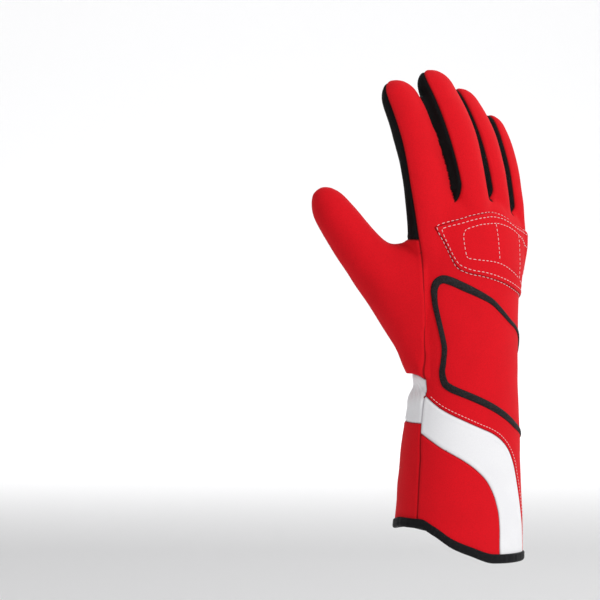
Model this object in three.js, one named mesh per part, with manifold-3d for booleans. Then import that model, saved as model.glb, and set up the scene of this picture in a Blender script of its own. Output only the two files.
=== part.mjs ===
// A right-hand karting glove, filled as a hand fills it: a hollow hand with five fingers and a flared gauntlet.
// Millimetres. +Z runs from the gauntlet's mouth to the fingertips, +X is the little finger's side and +Y the palm's.
// The origin is the centre of the mouth. A section angle is 0 at the back of the hand, 90 at the little finger's
// side, 180 at the palm and -90 at the thumb's side.
import * as THREE from "three";
import { mergeVertices } from "three/addons/utils/BufferGeometryUtils.js";
import Module from "manifold-3d";

// Cloth
const WALL = 1.6; // the fabric wall, all round
const SEAM_GAP = 0.3; // between two panels sewn edge to edge
const LAY_GAP = 0.3; // between a panel and what is sewn on it
const PATCH_THICKNESS = 1.2; // grey suede grips
const TRIM_WIDTH = 5; // black curved trim on the back, at its widest
const TRIM_THICKNESS = 0.9;
const PAD_THICKNESS = 1.8; // knuckle padding
const BINDING_THICKNESS = 1.1; // tape round the mouth
const BINDING_HEIGHT = 4.6;

// Gauntlet and hand
const GAUNTLET_LENGTH = 99; // mouth centre to the wrist gather
const HAND_LENGTH = 120; // wrist gather to the webs between the fingers
const MOUTH_WIDTH = 91;
const MOUTH_DEPTH = 71;
const WRIST_WIDTH = 75;
const WRIST_DEPTH = 56;
const KNUCKLE_WIDTH = 92;
const KNUCKLE_DEPTH = 38;
const KNUCKLE_ARCH = 7; // how far the hand's sides bend towards the palm
const MOUTH_SLANT = 15; // how much higher the mouth is on the thumb's side
const GATHER_DEPTH = 1.6; // pleats of the elastic at the wrist, on the palm's side
const GATHER_PITCH = 18; // degrees from pleat to pleat

// Thumb: a fan of ribs in a plane that leans from the thumb's side towards the palm
const THUMB_REACH = 69; // from the hand's side to the tip, along the plane
const THUMB_RISE = 76; // from the fan's middle to the tip, upwards
const THUMB_SPAN = 94; // the fan's root, along the hand's side
const THUMB_DEPTH = 36; // the root's thickness
const THUMB_TURN = 38; // degrees from the hand's width towards the palm

const THUMB_SEAM = -75; // the section angle of the seam up the thumb's side
const THUMB_FOLD = 3; // how far the thumb's red back reaches past the middle of its plane
const WEB_DROP = 8; // how much lower the web beside the little finger lies

const RING_POINTS = 28;
const FINGER_POINTS = 10;
const FINGER_LINING_POINTS = 6;

const RED = { color: 0xd81824, roughness: 0.85, metalness: 0 };
const WHITE = { color: 0xf0f0f2, roughness: 0.85, metalness: 0 };
const BLACK = { color: 0x1c1a1c, roughness: 0.9, metalness: 0 };
const GREY = { color: 0x8a878a, roughness: 0.95, metalness: 0 };
const TRIM = { color: 0x242022, roughness: 0.6, metalness: 0 };
const TAPE = { color: 0x17171a, roughness: 0.7, metalness: 0 };

// Sections of the gauntlet and the hand. rise is a share of the zone's length. wide and deep go from the wrist's size
// at 0 to the mouth's or the knuckles' size at 1. across and palmward move the centre, in shares of that size.
// crown shrinks the section towards the webs, and arch is a share of the knuckles' arch.
const GAUNTLET_SECTIONS = [
  { rise: 0.0, wide: 1.0, deep: 1.0, across: -0.033, palmward: 0.042 },
  { rise: 0.2, wide: 0.86, deep: 0.88, across: -0.032, palmward: 0.039 },
  { rise: 0.4, wide: 0.7, deep: 0.73, across: -0.031, palmward: 0.036 },
  { rise: 0.66, wide: 0.5, deep: 0.53, across: -0.025, palmward: 0.028 },
  { rise: 0.93, wide: 0.12, deep: 0.12, across: -0.009, palmward: 0.01 },
];
const HAND_SECTIONS = [
  { rise: 0.0, wide: 0.0, deep: 0.0, across: -0.005, palmward: 0, crown: 1, arch: 0 },
  { rise: 0.22, wide: 0.13, deep: 0.25, across: 0.008, palmward: 0, crown: 1, arch: 0.25 },
  { rise: 0.47, wide: 0.5, deep: 0.62, across: 0.022, palmward: 0, crown: 1, arch: 0.6 },
  { rise: 0.72, wide: 0.94, deep: 0.88, across: 0.038, palmward: 0, crown: 1, arch: 1 },
  { rise: 0.82, wide: 1.0, deep: 1.0, across: 0.04, palmward: 0, crown: 0.96, arch: 1 },
  { rise: 0.9, wide: 1.0, deep: 1.0, across: 0.04, palmward: -0.01, crown: 0.83, arch: 1 },
  { rise: 0.96, wide: 1.0, deep: 1.0, across: 0.04, palmward: -0.02, crown: 0.64, arch: 0.9 },
  { rise: 1.0, wide: 1.0, deep: 1.0, across: 0.04, palmward: -0.02, crown: 0.38, arch: 0.8 },
];

// Height of the mouth's edge round the opening, as shares of MOUTH_SLANT
const MOUTH_EDGE = [
  { angle: -180, height: -0.05 },
  { angle: -160, height: 0.4 },
  { angle: -128, height: 0.84 },
  { angle: -96, height: 0.82 },
  { angle: -71, height: 0.76 },
  { angle: -56, height: 0.34 },
  { angle: -38, height: -0.1 },
  { angle: -24, height: -0.36 },
  { angle: 0, height: -0.74 },
  { angle: 41, height: -0.92 },
  { angle: 90, height: -1.0 },
  { angle: 116, height: -0.85 },
  { angle: 153, height: -0.45 },
  { angle: 180, height: -0.05 },
];

// The fingers. across and palmward are shares of half the knuckles' width and depth, rise is a share of the hand's
// length, and the curl goes evenly from the root's angle to the tip's. The red back reaches round to thumbSide and
// littleSide, in section angles.
const FINGERS = [
  { name: "index", across: -0.61, palmward: 0.05, rise: 0.775, length: 113, width: 28.5, root: 1.14, depth: 22,
    lean: 0, curlRoot: 3, curlTip: 40, thumbSide: -73, littleSide: 55 },
  { name: "middle", across: -0.015, palmward: -0.42, rise: 0.79, length: 119.5, width: 27, root: 0.9, depth: 21.5,
    lean: 0.5, curlRoot: 4, curlTip: 45, thumbSide: -55, littleSide: 55 },
  { name: "ring", across: 0.49, palmward: -0.12, rise: 0.77, length: 109, width: 23, root: 0.9, depth: 20,
    lean: 2, curlRoot: 2, curlTip: 47, thumbSide: -55, littleSide: 55 },
  { name: "little", across: 0.88, palmward: 0.2, rise: 0.71, length: 94, width: 20.5, root: 0.92, depth: 18.5,
    lean: 3, curlRoot: 2, curlTip: 36, thumbSide: -55, littleSide: 124 },
];
// A finger's thickness along its length, before its tip is rounded. Its root has a share of its own.
const FINGER_TAPER = [
  { along: -0.16, size: 0.7, root: 0 },
  { along: 0.06, size: 1.0, root: 0.9 },
  { along: 0.3, size: 1.0, root: 0.8 },
  { along: 0.55, size: 1.0, root: 0 },
  { along: 0.78, size: 0.94, root: 0 },
  { along: 1.0, size: 0.82, root: 0 },
];
const TIP_SHARE = 0.13; // the part of a finger's length that rounds off
const FINGER_STATIONS = [-0.16, 0.06, 0.32, 0.6, 0.84, 0.94, 1];

// The thumb's ribs. out, up and half are shares of its reach, rise and span; thick is a share of its depth; turn is the
// rib's angle from the outward direction, in degrees.
const THUMB_RIBS = [
  { out: 0.0, up: 0.0, half: 0.48, thick: 0.94, turn: 90 },
  { out: 0.24, up: 0.1, half: 0.345, thick: 0.9, turn: 90 },
  { out: 0.455, up: 0.31, half: 0.215, thick: 0.82, turn: 107 },
  { out: 0.65, up: 0.545, half: 0.157, thick: 0.74, turn: 126 },
  { out: 0.79, up: 0.725, half: 0.138, thick: 0.68, turn: 140 },
  { out: 0.885, up: 0.855, half: 0.12, thick: 0.6, turn: 144 },
  { out: 0.95, up: 0.94, half: 0.082, thick: 0.42, turn: 144 },
  { out: 0.98, up: 0.98, half: 0.04, thick: 0.2, turn: 144 },
];
const THUMB_ROOT = { across: -0.66, palmward: 0.3, rise: 0.43 }; // the fan's middle, in shares as a finger's

// Seams and edges. A level is 0 at the middle of the mouth, 1 at the wrist's gather and 2 at the webs. An edge is cut
// as straight lines between the facets' corners and the points that are marked sharp.
const PALM_SEAM = [
  { level: -0.5, angle: 117.5 },
  { level: 1.03, angle: 118 },
  { level: 1.13, angle: 116.5 },
  { level: 1.3, angle: 111 },
  { level: 1.46, angle: 106 },
  { level: 1.62, angle: 102.5 },
  { level: 1.85, angle: 100 },
];
const PALM_EDGE = [
  { angle: 110, level: 1.13 },
  { angle: 132, level: 1.114 },
  { angle: 148, level: 1.117 },
  { angle: 166, level: 1.128 },
  { angle: 185, level: 1.142 },
  { angle: 228, level: 1.158, sharp: true },
  { angle: 246, level: 1.07, sharp: true },
  { angle: 292, level: 1.07 },
];
const BAND_TOP = [
  { angle: -75, level: 0.944 },
  { angle: -55, level: 0.873 },
  { angle: -33, level: 0.808 },
  { angle: -13, level: 0.75 },
  { angle: -2, level: 0.718 },
  { angle: 10, level: 0.667 },
  { angle: 20, level: 0.602 },
  { angle: 27, level: 0.53 },
  { angle: 33, level: 0.44, sharp: true },
  { angle: 39, level: 0.298, sharp: true },
  { angle: 43, level: 0.2, sharp: true },
  { angle: 52, level: -0.02, sharp: true },
  { angle: 58, level: -0.4 },
];
const BAND_BOTTOM = [
  { angle: -75, level: 0.715 },
  { angle: -63, level: 0.673 },
  { angle: -52, level: 0.63 },
  { angle: -42, level: 0.595 },
  { angle: -32, level: 0.557 },
  { angle: -22, level: 0.511 },
  { angle: -13, level: 0.457 },
  { angle: -7, level: 0.41, sharp: true },
  { angle: -2, level: 0.35, sharp: true },
  { angle: 2, level: 0.28, sharp: true },
  { angle: 5, level: 0.19, sharp: true },
  { angle: 6.5, level: 0.05, sharp: true },
  { angle: 7, level: -0.4 },
];
const TONGUE_TOP = [
  { angle: 137.4, level: 0.5, sharp: true },
  { angle: 140, level: 0.556 },
  { angle: 146, level: 0.606, sharp: true },
  { angle: 156, level: 0.646 },
  { angle: 179, level: 0.715 },
  { angle: 210, level: 0.785 },
  { angle: 292, level: 0.785 },
];
const TONGUE_BOTTOM = [
  { angle: 137.4, level: 0.49 },
  { angle: 140, level: 0.44 },
  { angle: 145, level: 0.4, sharp: true },
  { angle: 154, level: 0.369, sharp: true },
  { angle: 164, level: 0.363 },
  { angle: 186, level: 0.363 },
  { angle: 207, level: 0.333 },
  { angle: 217, level: 0.27, sharp: true },
  { angle: 226, level: 0.14, sharp: true },
  { angle: 233, level: -0.4, sharp: true },
  { angle: 292, level: -0.4 },
];
const PAD_TOP = [
  { angle: -53.4, level: 1.834 },
  { angle: -37, level: 1.882, sharp: true },
  { angle: -17, level: 1.915 },
  { angle: 2, level: 1.93 },
  { angle: 23, level: 1.9 },
  { angle: 37, level: 1.861 },
  { angle: 60, level: 1.828 },
  { angle: 96, level: 1.775 },
];
const PAD_BOTTOM = [
  { angle: -53.4, level: 1.815 },
  { angle: -46, level: 1.738, sharp: true },
  { angle: -36.5, level: 1.642, sharp: true },
  { angle: -30, level: 1.622 },
  { angle: -10, level: 1.594 },
  { angle: 12, level: 1.557 },
  { angle: 36, level: 1.508 },
  { angle: 54, level: 1.482 },
  { angle: 96, level: 1.43 },
];
// The black trim's middle line. wide is a share of its greatest width.
const TRIM_LINE = [
  { angle: 72, level: 1.16, wide: 0.42 },
  { angle: 54.6, level: 1.26, wide: 0.45 },
  { angle: 40, level: 1.31, wide: 0.5 },
  { angle: 26.4, level: 1.348, wide: 0.55 },
  { angle: 11.8, level: 1.408, wide: 0.65 },
  { angle: 0, level: 1.461, wide: 0.75 },
  { angle: -15, level: 1.506, wide: 0.9 },
  { angle: -28, level: 1.541, wide: 1 },
  { angle: -40, level: 1.572, wide: 1 },
  { angle: -47, level: 1.582, wide: 1 },
  { angle: -54, level: 1.564, wide: 0.95 },
  { angle: -58, level: 1.515, wide: 0.8 },
  { angle: -58.5, level: 1.46, wide: 0.68 },
  { angle: -57, level: 1.381, wide: 0.64 },
  { angle: -55, level: 1.301, wide: 0.64 },
  { angle: -53.5, level: 1.221, wide: 0.66 },
  { angle: -54, level: 1.141, wide: 0.7 },
  { angle: -55, level: 1.065, wide: 0.8 },
  { angle: -52, level: 1.018, wide: 1 },
  { angle: -40.4, level: 0.99, wide: 1 },
  { angle: -24.3, level: 0.951, wide: 1 },
  { angle: -2.6, level: 0.887, wide: 1 },
  { angle: 9.6, level: 0.845, wide: 1 },
  { angle: 21, level: 0.8, wide: 0.95 },
  { angle: 33.9, level: 0.75, wide: 0.85 },
  { angle: 50, level: 0.705, wide: 0.7 },
  { angle: 68, level: 0.66, wide: 0.6 },
];
// The outlines of the grips on the palm, in shares of half the knuckles' width, and levels
const PALM_PATCH = [
  [0.92, 1.94], [0.945, 2.02], [0.93, 2.08], [0.82, 2.13], [0.71, 2.09], [0.68, 2.04], [0.61, 2.02],
  [0.57, 2.045], [0.55, 2.09], [0.45, 2.118], [0.34, 2.09], [0.31, 2.045], [0.24, 2.025], [0.17, 2.045],
  [0.14, 2.09], [0.01, 2.112], [-0.13, 2.09], [-0.22, 2.03], [-0.33, 1.995], [-0.42, 2.02], [-0.47, 2.06],
  [-0.57, 2.095], [-0.66, 2.07], [-0.7, 1.97], [-0.66, 1.87], [-0.55, 1.813], [-0.32, 1.79], [-0.26, 1.755],
  [-0.28, 1.715], [-0.35, 1.665], [-0.42, 1.61], [-0.45, 1.54], [-0.41, 1.475], [-0.3, 1.425], [-0.13, 1.38],
  [0.07, 1.361], [0.26, 1.363], [0.44, 1.388], [0.6, 1.425], [0.7, 1.483], [0.78, 1.55], [0.84, 1.608],
  [0.86, 1.667], [0.83, 1.717], [0.75, 1.758], [0.63, 1.808], [0.57, 1.842], [0.61, 1.875], [0.73, 1.894],
  [0.85, 1.905],
];
// The outlines of the grips on the thumb, in shares of its reach and rise
const THENAR_PATCH = [
  [0.05, 0.48], [0.075, 0.505], [0.13, 0.51], [0.215, 0.482], [0.325, 0.438], [0.42, 0.388], [0.49, 0.33],
  [0.53, 0.254], [0.525, 0.178], [0.48, 0.11], [0.395, 0.034], [0.285, -0.05], [0.23, 0.026], [0.157, 0.136],
  [0.108, 0.262], [0.06, 0.39],
];
const THUMB_PATCH = [
  [0.51, 0.6], [0.73, 0.44], [0.945, 0.73], [0.97, 0.81], [0.94, 0.9], [0.86, 0.935], [0.775, 0.9],
];
const FINGER_PATCH = { start: 0.62, end: 0.9, halfAngle: 36 };
const FOURCHETTE = { start: 0.19, full: 0.34, from: 55, to: 125 }; // along the finger, and round it

const wasm = await Module();
wasm.setup();

const radians = THREE.MathUtils.degToRad;
const mix = THREE.MathUtils.lerp;

// The value of a table's column at a key, with straight lines between its rows.
function readTable(rows, key, column, at) {
  const last = rows.length - 1;
  if (at <= rows[0][key]) return rows[0][column];
  if (at >= rows[last][key]) return rows[last][column];
  const i = rows.findIndex((row) => row[key] > at);
  const share = (at - rows[i - 1][key]) / (rows[i][key] - rows[i - 1][key]);
  return mix(rows[i - 1][column], rows[i][column], share);
}

// A solid through rings of points with the same count, closed at both ends.
function loft(rings) {
  const points = [];
  const faces = [];
  const count = rings[0].length;
  rings.forEach((ring) => ring.forEach((p) => points.push(p.x, p.y, p.z)));
  for (let r = 0; r + 1 < rings.length; r++) {
    for (let i = 0; i < count; i++) {
      const a = r * count + i;
      const b = r * count + ((i + 1) % count);
      faces.push(a, b, b + count, a, b + count, a + count);
    }
  }
  [0, rings.length - 1].forEach((r) => {
    const centre = points.length / 3;
    const middle = rings[r].reduce((sum, p) => sum.add(p), new THREE.Vector3()).divideScalar(count);
    points.push(middle.x, middle.y, middle.z);
    for (let i = 0; i < count; i++) {
      const a = r * count + i;
      const b = r * count + ((i + 1) % count);
      faces.push(...(r === 0 ? [b, a, centre] : [a, b, centre]));
    }
  });
  const geometry = new THREE.BufferGeometry();
  geometry.setAttribute("position", new THREE.Float32BufferAttribute(points, 3));
  geometry.setIndex(faces);
  return solidOf(geometry);
}

// A closed three.js geometry as a solid, turned outside out where its faces point inwards.
function solidOf(geometry) {
  geometry.deleteAttribute("normal");
  geometry.deleteAttribute("uv");
  const merged = mergeVertices(geometry, 1e-4);
  const triVerts = new Uint32Array(merged.index.array);
  const vertProperties = merged.attributes.position.array;
  let made = new wasm.Manifold(new wasm.Mesh({ numProp: 3, vertProperties, triVerts }));
  if (made.volume() < 0) {
    for (let i = 0; i < triVerts.length; i += 3) {
      [triVerts[i], triVerts[i + 1]] = [triVerts[i + 1], triVerts[i]];
    }
    made = new wasm.Manifold(new wasm.Mesh({ numProp: 3, vertProperties, triVerts }));
  }
  return made;
}

function join(solids) {
  return solids.reduce((all, next) => all.add(next));
}

// The section of the gauntlet and hand at a height: its centre, half sizes and arch.
function bodySection(z) {
  const onHand = z > GAUNTLET_LENGTH;
  const rows = onHand ? HAND_SECTIONS : [...GAUNTLET_SECTIONS, { ...HAND_SECTIONS[0], rise: 1 }];
  const rise = onHand ? (z - GAUNTLET_LENGTH) / HAND_LENGTH : z / GAUNTLET_LENGTH;
  const column = (name) => readTable(rows, "rise", name, rise);
  const farWidth = onHand ? KNUCKLE_WIDTH : MOUTH_WIDTH;
  const farDepth = onHand ? KNUCKLE_DEPTH : MOUTH_DEPTH;
  const crown = onHand ? column("crown") : 1;
  return {
    x: column("across") * farWidth,
    y: column("palmward") * farDepth,
    halfWidth: (mix(WRIST_WIDTH, farWidth, column("wide")) / 2) * mix(crown, 1, 0.8),
    halfDepth: (mix(WRIST_DEPTH, farDepth, column("deep")) / 2) * crown,
    arch: onHand ? column("arch") * KNUCKLE_ARCH : 0,
  };
}

// A point on the gauntlet or hand, at a section angle and a height. outset moves it off the surface, and reach
// scales it from the section's centre.
function bodyPoint(angle, z, outset = 0, reach = 1) {
  const s = bodySection(z);
  const sine = Math.sin(radians(angle));
  const cosine = Math.cos(radians(angle));
  return new THREE.Vector3(
    s.x + (s.halfWidth + outset) * reach * sine,
    s.y - (s.halfDepth + outset) * reach * cosine + s.arch * sine * sine,
    z,
  );
}

// How far the pleats of the wrist's elastic go in, at a section angle and a height.
function gather(angle, z) {
  const turn = ((angle % 360) + 360) % 360;
  const round = THREE.MathUtils.smoothstep(turn, 105, 130) * (1 - THREE.MathUtils.smoothstep(turn, 265, 285));
  const height = 0.11 * GAUNTLET_LENGTH;
  const near = Math.max(0, 1 - Math.abs(z - GAUNTLET_LENGTH) / height);
  const pleat = 0.5 + 0.5 * Math.cos(radians((turn / GATHER_PITCH) * 360));
  return GATHER_DEPTH * round * near * (0.4 + pleat);
}

function mouthHeight(angle) {
  const turn = ((((angle + 180) % 360) + 360) % 360) - 180;
  return readTable(MOUTH_EDGE, "angle", "height", turn) * MOUTH_SLANT;
}

const BODY_TOP = GAUNTLET_LENGTH + HAND_LENGTH;
const BODY_HEIGHTS = [
  ...GAUNTLET_SECTIONS.slice(1).map((row) => row.rise * GAUNTLET_LENGTH),
  ...HAND_SECTIONS.map((row) => GAUNTLET_LENGTH + row.rise * HAND_LENGTH),
];

// How far the hand's top drops towards the little finger.
function webShift(x, z) {
  const rise = (z - GAUNTLET_LENGTH) / HAND_LENGTH;
  const near = THREE.MathUtils.smoothstep(rise, 0.8, 1);
  return -WEB_DROP * near * THREE.MathUtils.smoothstep(x / (KNUCKLE_WIDTH / 2), 0.4, 0.75);
}

// The gauntlet and hand, moved in or out of its surface. Its first ring follows the mouth's slanted edge, run on by
// below.
function bodySolid(outset, points, below = 0) {
  const angles = Array.from({ length: points }, (_, i) => (i * 360) / points - 180);
  const mouth = angles.map((angle) => {
    const p = bodyPoint(angle, 0, outset);
    p.z = mouthHeight(angle) - below;
    return p;
  });
  const rings = BODY_HEIGHTS.map((z) =>
    angles.map((angle) => {
      const p = bodyPoint(angle, z, outset - gather(angle, z));
      p.z += webShift(p.x, z) + (z === BODY_TOP ? outset : 0);
      return p;
    }),
  );
  return loft([mouth, ...rings]);
}

// A finger's frame at a share of its length: its centre, its sideways and palmward directions and its thickness.
function fingerFrame(finger, along) {
  const steps = 24;
  const lean = radians(finger.lean);
  const curl = (t) => radians(mix(finger.curlRoot, finger.curlTip, t));
  const forward = (t) =>
    new THREE.Vector3(Math.sin(lean) * Math.cos(curl(t)), Math.sin(curl(t)), Math.cos(lean) * Math.cos(curl(t)));
  const centre = new THREE.Vector3(
    (finger.across * KNUCKLE_WIDTH) / 2,
    (finger.palmward * KNUCKLE_DEPTH) / 2,
    GAUNTLET_LENGTH + finger.rise * HAND_LENGTH,
  );
  for (let i = 0; i < steps; i++) {
    centre.addScaledVector(forward(((i + 0.5) / steps) * along), (finger.length * along) / steps);
  }
  const side = new THREE.Vector3(Math.cos(lean), 0, -Math.sin(lean));
  const palmward = new THREE.Vector3().crossVectors(forward(along), side);
  const size = readTable(FINGER_TAPER, "along", "size", along);
  const taper = mix(size, finger.root, readTable(FINGER_TAPER, "along", "root", along));
  return { centre, side, palmward, taper, deep: Math.min(1, taper) };
}

// A finger, moved in or out of its surface.
function fingerSolid(finger, outset, points) {
  const length = 1 + outset / finger.length;
  const rings = FINGER_STATIONS.map((station) => {
    const along = station * length;
    const frame = fingerFrame(finger, along);
    const past = Math.max(0, (station - 1 + TIP_SHARE) / TIP_SHARE);
    const round = Math.sqrt(Math.max(0.002, 1 - past * past));
    return Array.from({ length: points }, (_, i) => {
      const angle = (i * 2 * Math.PI) / points;
      return frame.centre
        .clone()
        .addScaledVector(frame.side, ((finger.width / 2) * frame.taper + outset) * round * Math.sin(angle))
        .addScaledVector(frame.palmward, -((finger.depth / 2) * frame.deep + outset) * round * Math.cos(angle));
    });
  });
  return loft(rings);
}

// The thumb's plane: outwards from the hand and upwards, and its normal.
const THUMB_OUT = new THREE.Vector3(-Math.cos(radians(THUMB_TURN)), Math.sin(radians(THUMB_TURN)), 0);
const THUMB_FACE = new THREE.Vector3(Math.sin(radians(THUMB_TURN)), Math.cos(radians(THUMB_TURN)), 0);
const THUMB_CENTRE = new THREE.Vector3(
  (THUMB_ROOT.across * KNUCKLE_WIDTH) / 2,
  (THUMB_ROOT.palmward * KNUCKLE_DEPTH) / 2,
  GAUNTLET_LENGTH + THUMB_ROOT.rise * HAND_LENGTH,
);

function thumbPoint(out, up, face = 0) {
  return THUMB_CENTRE.clone().addScaledVector(THUMB_OUT, out).addScaledVector(THUMB_FACE, face).add(
    new THREE.Vector3(0, 0, up),
  );
}

// The thumb with its root, moved in or out of its surface.
function thumbSolid(outset, points) {
  const rings = THUMB_RIBS.map((rib) => {
    const turn = radians(rib.turn);
    const shorter = Math.max(0, rib.out) * outset;
    const half = Math.max(rib.half * THUMB_SPAN + outset, 0.8);
    const thick = Math.max((rib.thick * THUMB_DEPTH) / 2 + outset, 0.8);
    return Array.from({ length: points }, (_, i) => {
      const angle = (i * 2 * Math.PI) / points;
      const along = half * Math.cos(angle);
      return thumbPoint(
        rib.out * THUMB_REACH + along * Math.cos(turn) + shorter * 0.6,
        rib.up * THUMB_RISE + along * Math.sin(turn) + shorter * 0.8,
        thick * Math.sin(angle),
      );
    });
  });
  return loft(rings);
}

// The whole hand, moved in or out of its surface.
function handSolid(outset, fine, below = 0) {
  const fingerPoints = fine ? FINGER_POINTS : FINGER_LINING_POINTS;
  return join([
    bodySolid(outset, RING_POINTS, below),
    ...FINGERS.map((finger) => fingerSolid(finger, outset, fingerPoints)),
    thumbSolid(outset, fingerPoints),
  ]);
}

function levelHeight(level) {
  return level <= 1 ? level * GAUNTLET_LENGTH : GAUNTLET_LENGTH + (level - 1) * HAND_LENGTH;
}

// A cutter for the part of the gauntlet and hand between two section angles, on every height or between two edges.
// Each edge is a function of the angle. It is grown by a margin all round.
function curtain(fromAngle, toAngle, lower, upper, grow = 0) {
  const spread = THREE.MathUtils.radToDeg(grow / (KNUCKLE_WIDTH / 2));
  const pitch = 360 / RING_POINTS;
  const rings = [];
  const angles = [fromAngle - spread, toAngle + spread, ...(lower.turns ?? []), ...(upper.turns ?? [])];
  for (let k = Math.ceil(fromAngle / pitch); k * pitch < toAngle; k++) angles.push(k * pitch);
  const inside = angles.filter((angle) => angle >= fromAngle - spread && angle <= toAngle + spread);
  const sorted = inside.sort((a, b) => a - b).filter((angle, i, all) => i === 0 || angle - all[i - 1] > 0.5);
  for (const angle of sorted) {
    const low = lower(angle) - grow;
    const high = Math.max(upper(angle) + grow, low + 0.05);
    const corner = (z, reach) => bodyPoint(angle, z, 0, reach);
    rings.push([corner(low, 0.3), corner(low, 1.4), corner(high, 1.4), corner(high, 0.3)]);
  }
  return loft(rings);
}

// An edge as a function of the angle. turns are the angles where it bends sharply.
function edgeLine(rows) {
  const edge = (angle) => levelHeight(readTable(rows, "angle", "level", angle));
  edge.turns = rows.filter((row) => row.sharp).map((row) => row.angle);
  return edge;
}
const CUT_LOW = -MOUTH_SLANT * 2;

// A cutter for the back of the gauntlet and hand, from the thumb's seam to the palm's.
function backCutter(grow) {
  const levels = [-0.4, 0.2, 0.6, 1, 1.13, 1.46, 1.85, 2.04];
  const spread = THREE.MathUtils.radToDeg(grow / (WRIST_WIDTH / 2));
  const middle = 20;
  const half = (from, to) =>
    loft(
      levels.map((level) => {
        const z = levelHeight(level) + (level > 2 ? grow : 0);
        const a = from(level);
        const b = to(level);
        const ring = [bodyPoint(a, z, 0, 0.01)];
        for (let i = 0; i <= 5; i++) ring.push(bodyPoint(mix(a, b, i / 5), z, 0, 1.4));
        return ring;
      }),
    );
  const thumbHalf = half(
    () => THUMB_SEAM - spread,
    () => middle,
  );
  const palmHalf = half(
    () => middle - 1,
    (level) => readTable(PALM_SEAM, "level", "angle", level) + spread,
  );
  return thumbHalf.add(palmHalf);
}

// A cutter for the part of a finger between two shares of its length and two section angles.
function fingerCutter(finger, stations, angles, reach) {
  return loft(
    stations.map((along, i) => {
      const frame = fingerFrame(finger, along);
      const [from, to] = angles[i];
      const ring = [frame.centre.clone()];
      for (let k = 0; k <= 3; k++) {
        const angle = radians(mix(from, to, k / 3));
        ring.push(
          frame.centre
            .clone()
            .addScaledVector(frame.side, reach * Math.sin(angle))
            .addScaledVector(frame.palmward, -reach * Math.cos(angle)),
        );
      }
      return ring;
    }),
  );
}

// A finger's red back.
function fingerBackCutter(finger, grow) {
  const spread = THREE.MathUtils.radToDeg(grow / (finger.width / 2));
  const stations = [-0.05, 0.35, 0.7, 1.06];
  const from = finger.thumbSide - spread;
  const to = finger.littleSide + spread;
  const reach = finger.width * 0.75;
  const split = Math.min(to, 40);
  const parts = [fingerCutter(finger, stations, stations.map(() => [from, split]), reach)];
  if (to > split) parts.push(fingerCutter(finger, stations, stations.map(() => [split - 2, to]), reach));
  return join(parts);
}

// A finger's black side towards its neighbour, which starts as a point at the web.
function fourchetteCutter(finger, sign, grow) {
  const spread = THREE.MathUtils.radToDeg(grow / (finger.width / 2));
  const share = grow / finger.length;
  const { start, full, from, to } = FOURCHETTE;
  const first = (levelHeight(2) - WEB_DROP - (GAUNTLET_LENGTH + finger.rise * HAND_LENGTH)) / finger.length;
  const base = Math.max(start, first);
  const stations = [base - share, full, 0.7, 1.06];
  const middle = (from + to) / 2;
  const half = (to - from) / 2;
  const openings = [0.3, 1, 1, 1];
  const angles = openings.map((opening) => {
    const a = sign * (middle - half * opening - spread);
    const b = sign * (middle + half * opening + spread);
    return sign > 0 ? [a, b] : [b, a];
  });
  return fingerCutter(finger, stations, angles, finger.width * 0.68);
}

function fourchetteRegion(a, b, grow) {
  return fourchetteCutter(FINGERS[a], 1, grow).add(fourchetteCutter(FINGERS[b], -1, grow));
}

// A box in the thumb's plane.
function thumbBox(outFrom, outTo, faceFrom, faceTo, lower, upper) {
  const box = new THREE.BoxGeometry(outTo - outFrom, faceTo - faceFrom, upper - lower);
  const basis = new THREE.Matrix4().makeBasis(THUMB_OUT, THUMB_FACE, new THREE.Vector3(0, 0, 1));
  basis.setPosition(thumbPoint((outFrom + outTo) / 2, (lower + upper) / 2 - THUMB_CENTRE.z, (faceFrom + faceTo) / 2));
  return solidOf(box.applyMatrix4(basis));
}

// The thumb's red back: what lies behind a plane along the thumb, up to its web.
function thumbBackCutter(grow) {
  const bottom = levelHeight(PALM_EDGE.at(-1).level) - grow;
  const web = levelHeight(1.79) + grow;
  const split = THUMB_REACH * 0.17;
  const top = BODY_TOP + THUMB_RISE;
  const face = THUMB_FOLD + grow;
  const near = thumbBox(-THUMB_REACH * 0.2, split + 1, -THUMB_DEPTH * 2, face, bottom, web);
  const far = thumbBox(split, THUMB_REACH * 1.5, -THUMB_DEPTH * 2, face, bottom, top);
  return near.add(far);
}

// A prism of an outline. place turns the outline's two shares into a point, and through is its direction.
function prism(outline, place, through, depth) {
  const origin = place([0, 0]);
  const across = place([1, 0]).sub(origin);
  const up = place([0, 1]).sub(origin);
  const wide = across.length();
  const high = up.length();
  const shape = new THREE.Shape(outline.map(([a, b]) => new THREE.Vector2(a * wide, b * high)));
  const slab = new THREE.ExtrudeGeometry(shape, { depth, bevelEnabled: false });
  const basis = new THREE.Matrix4().makeBasis(across.normalize(), up.normalize(), through);
  basis.setPosition(origin);
  return solidOf(slab.applyMatrix4(basis));
}

// The largest piece of a cut, without the crumbs beside it.
function mainPiece(solid) {
  return solid.decompose().reduce((best, next) => (next.volume() > best.volume() ? next : best));
}

const outside = handSolid(0, true);
const lining = handSolid(-WALL, false, WALL);
const shell = outside.subtract(lining);

// The layer that lies on the hand, from its clearance to its thickness.
function layer(thickness) {
  return handSolid(LAY_GAP + thickness, true).subtract(handSolid(LAY_GAP, true)).subtract(outside);
}

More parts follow.
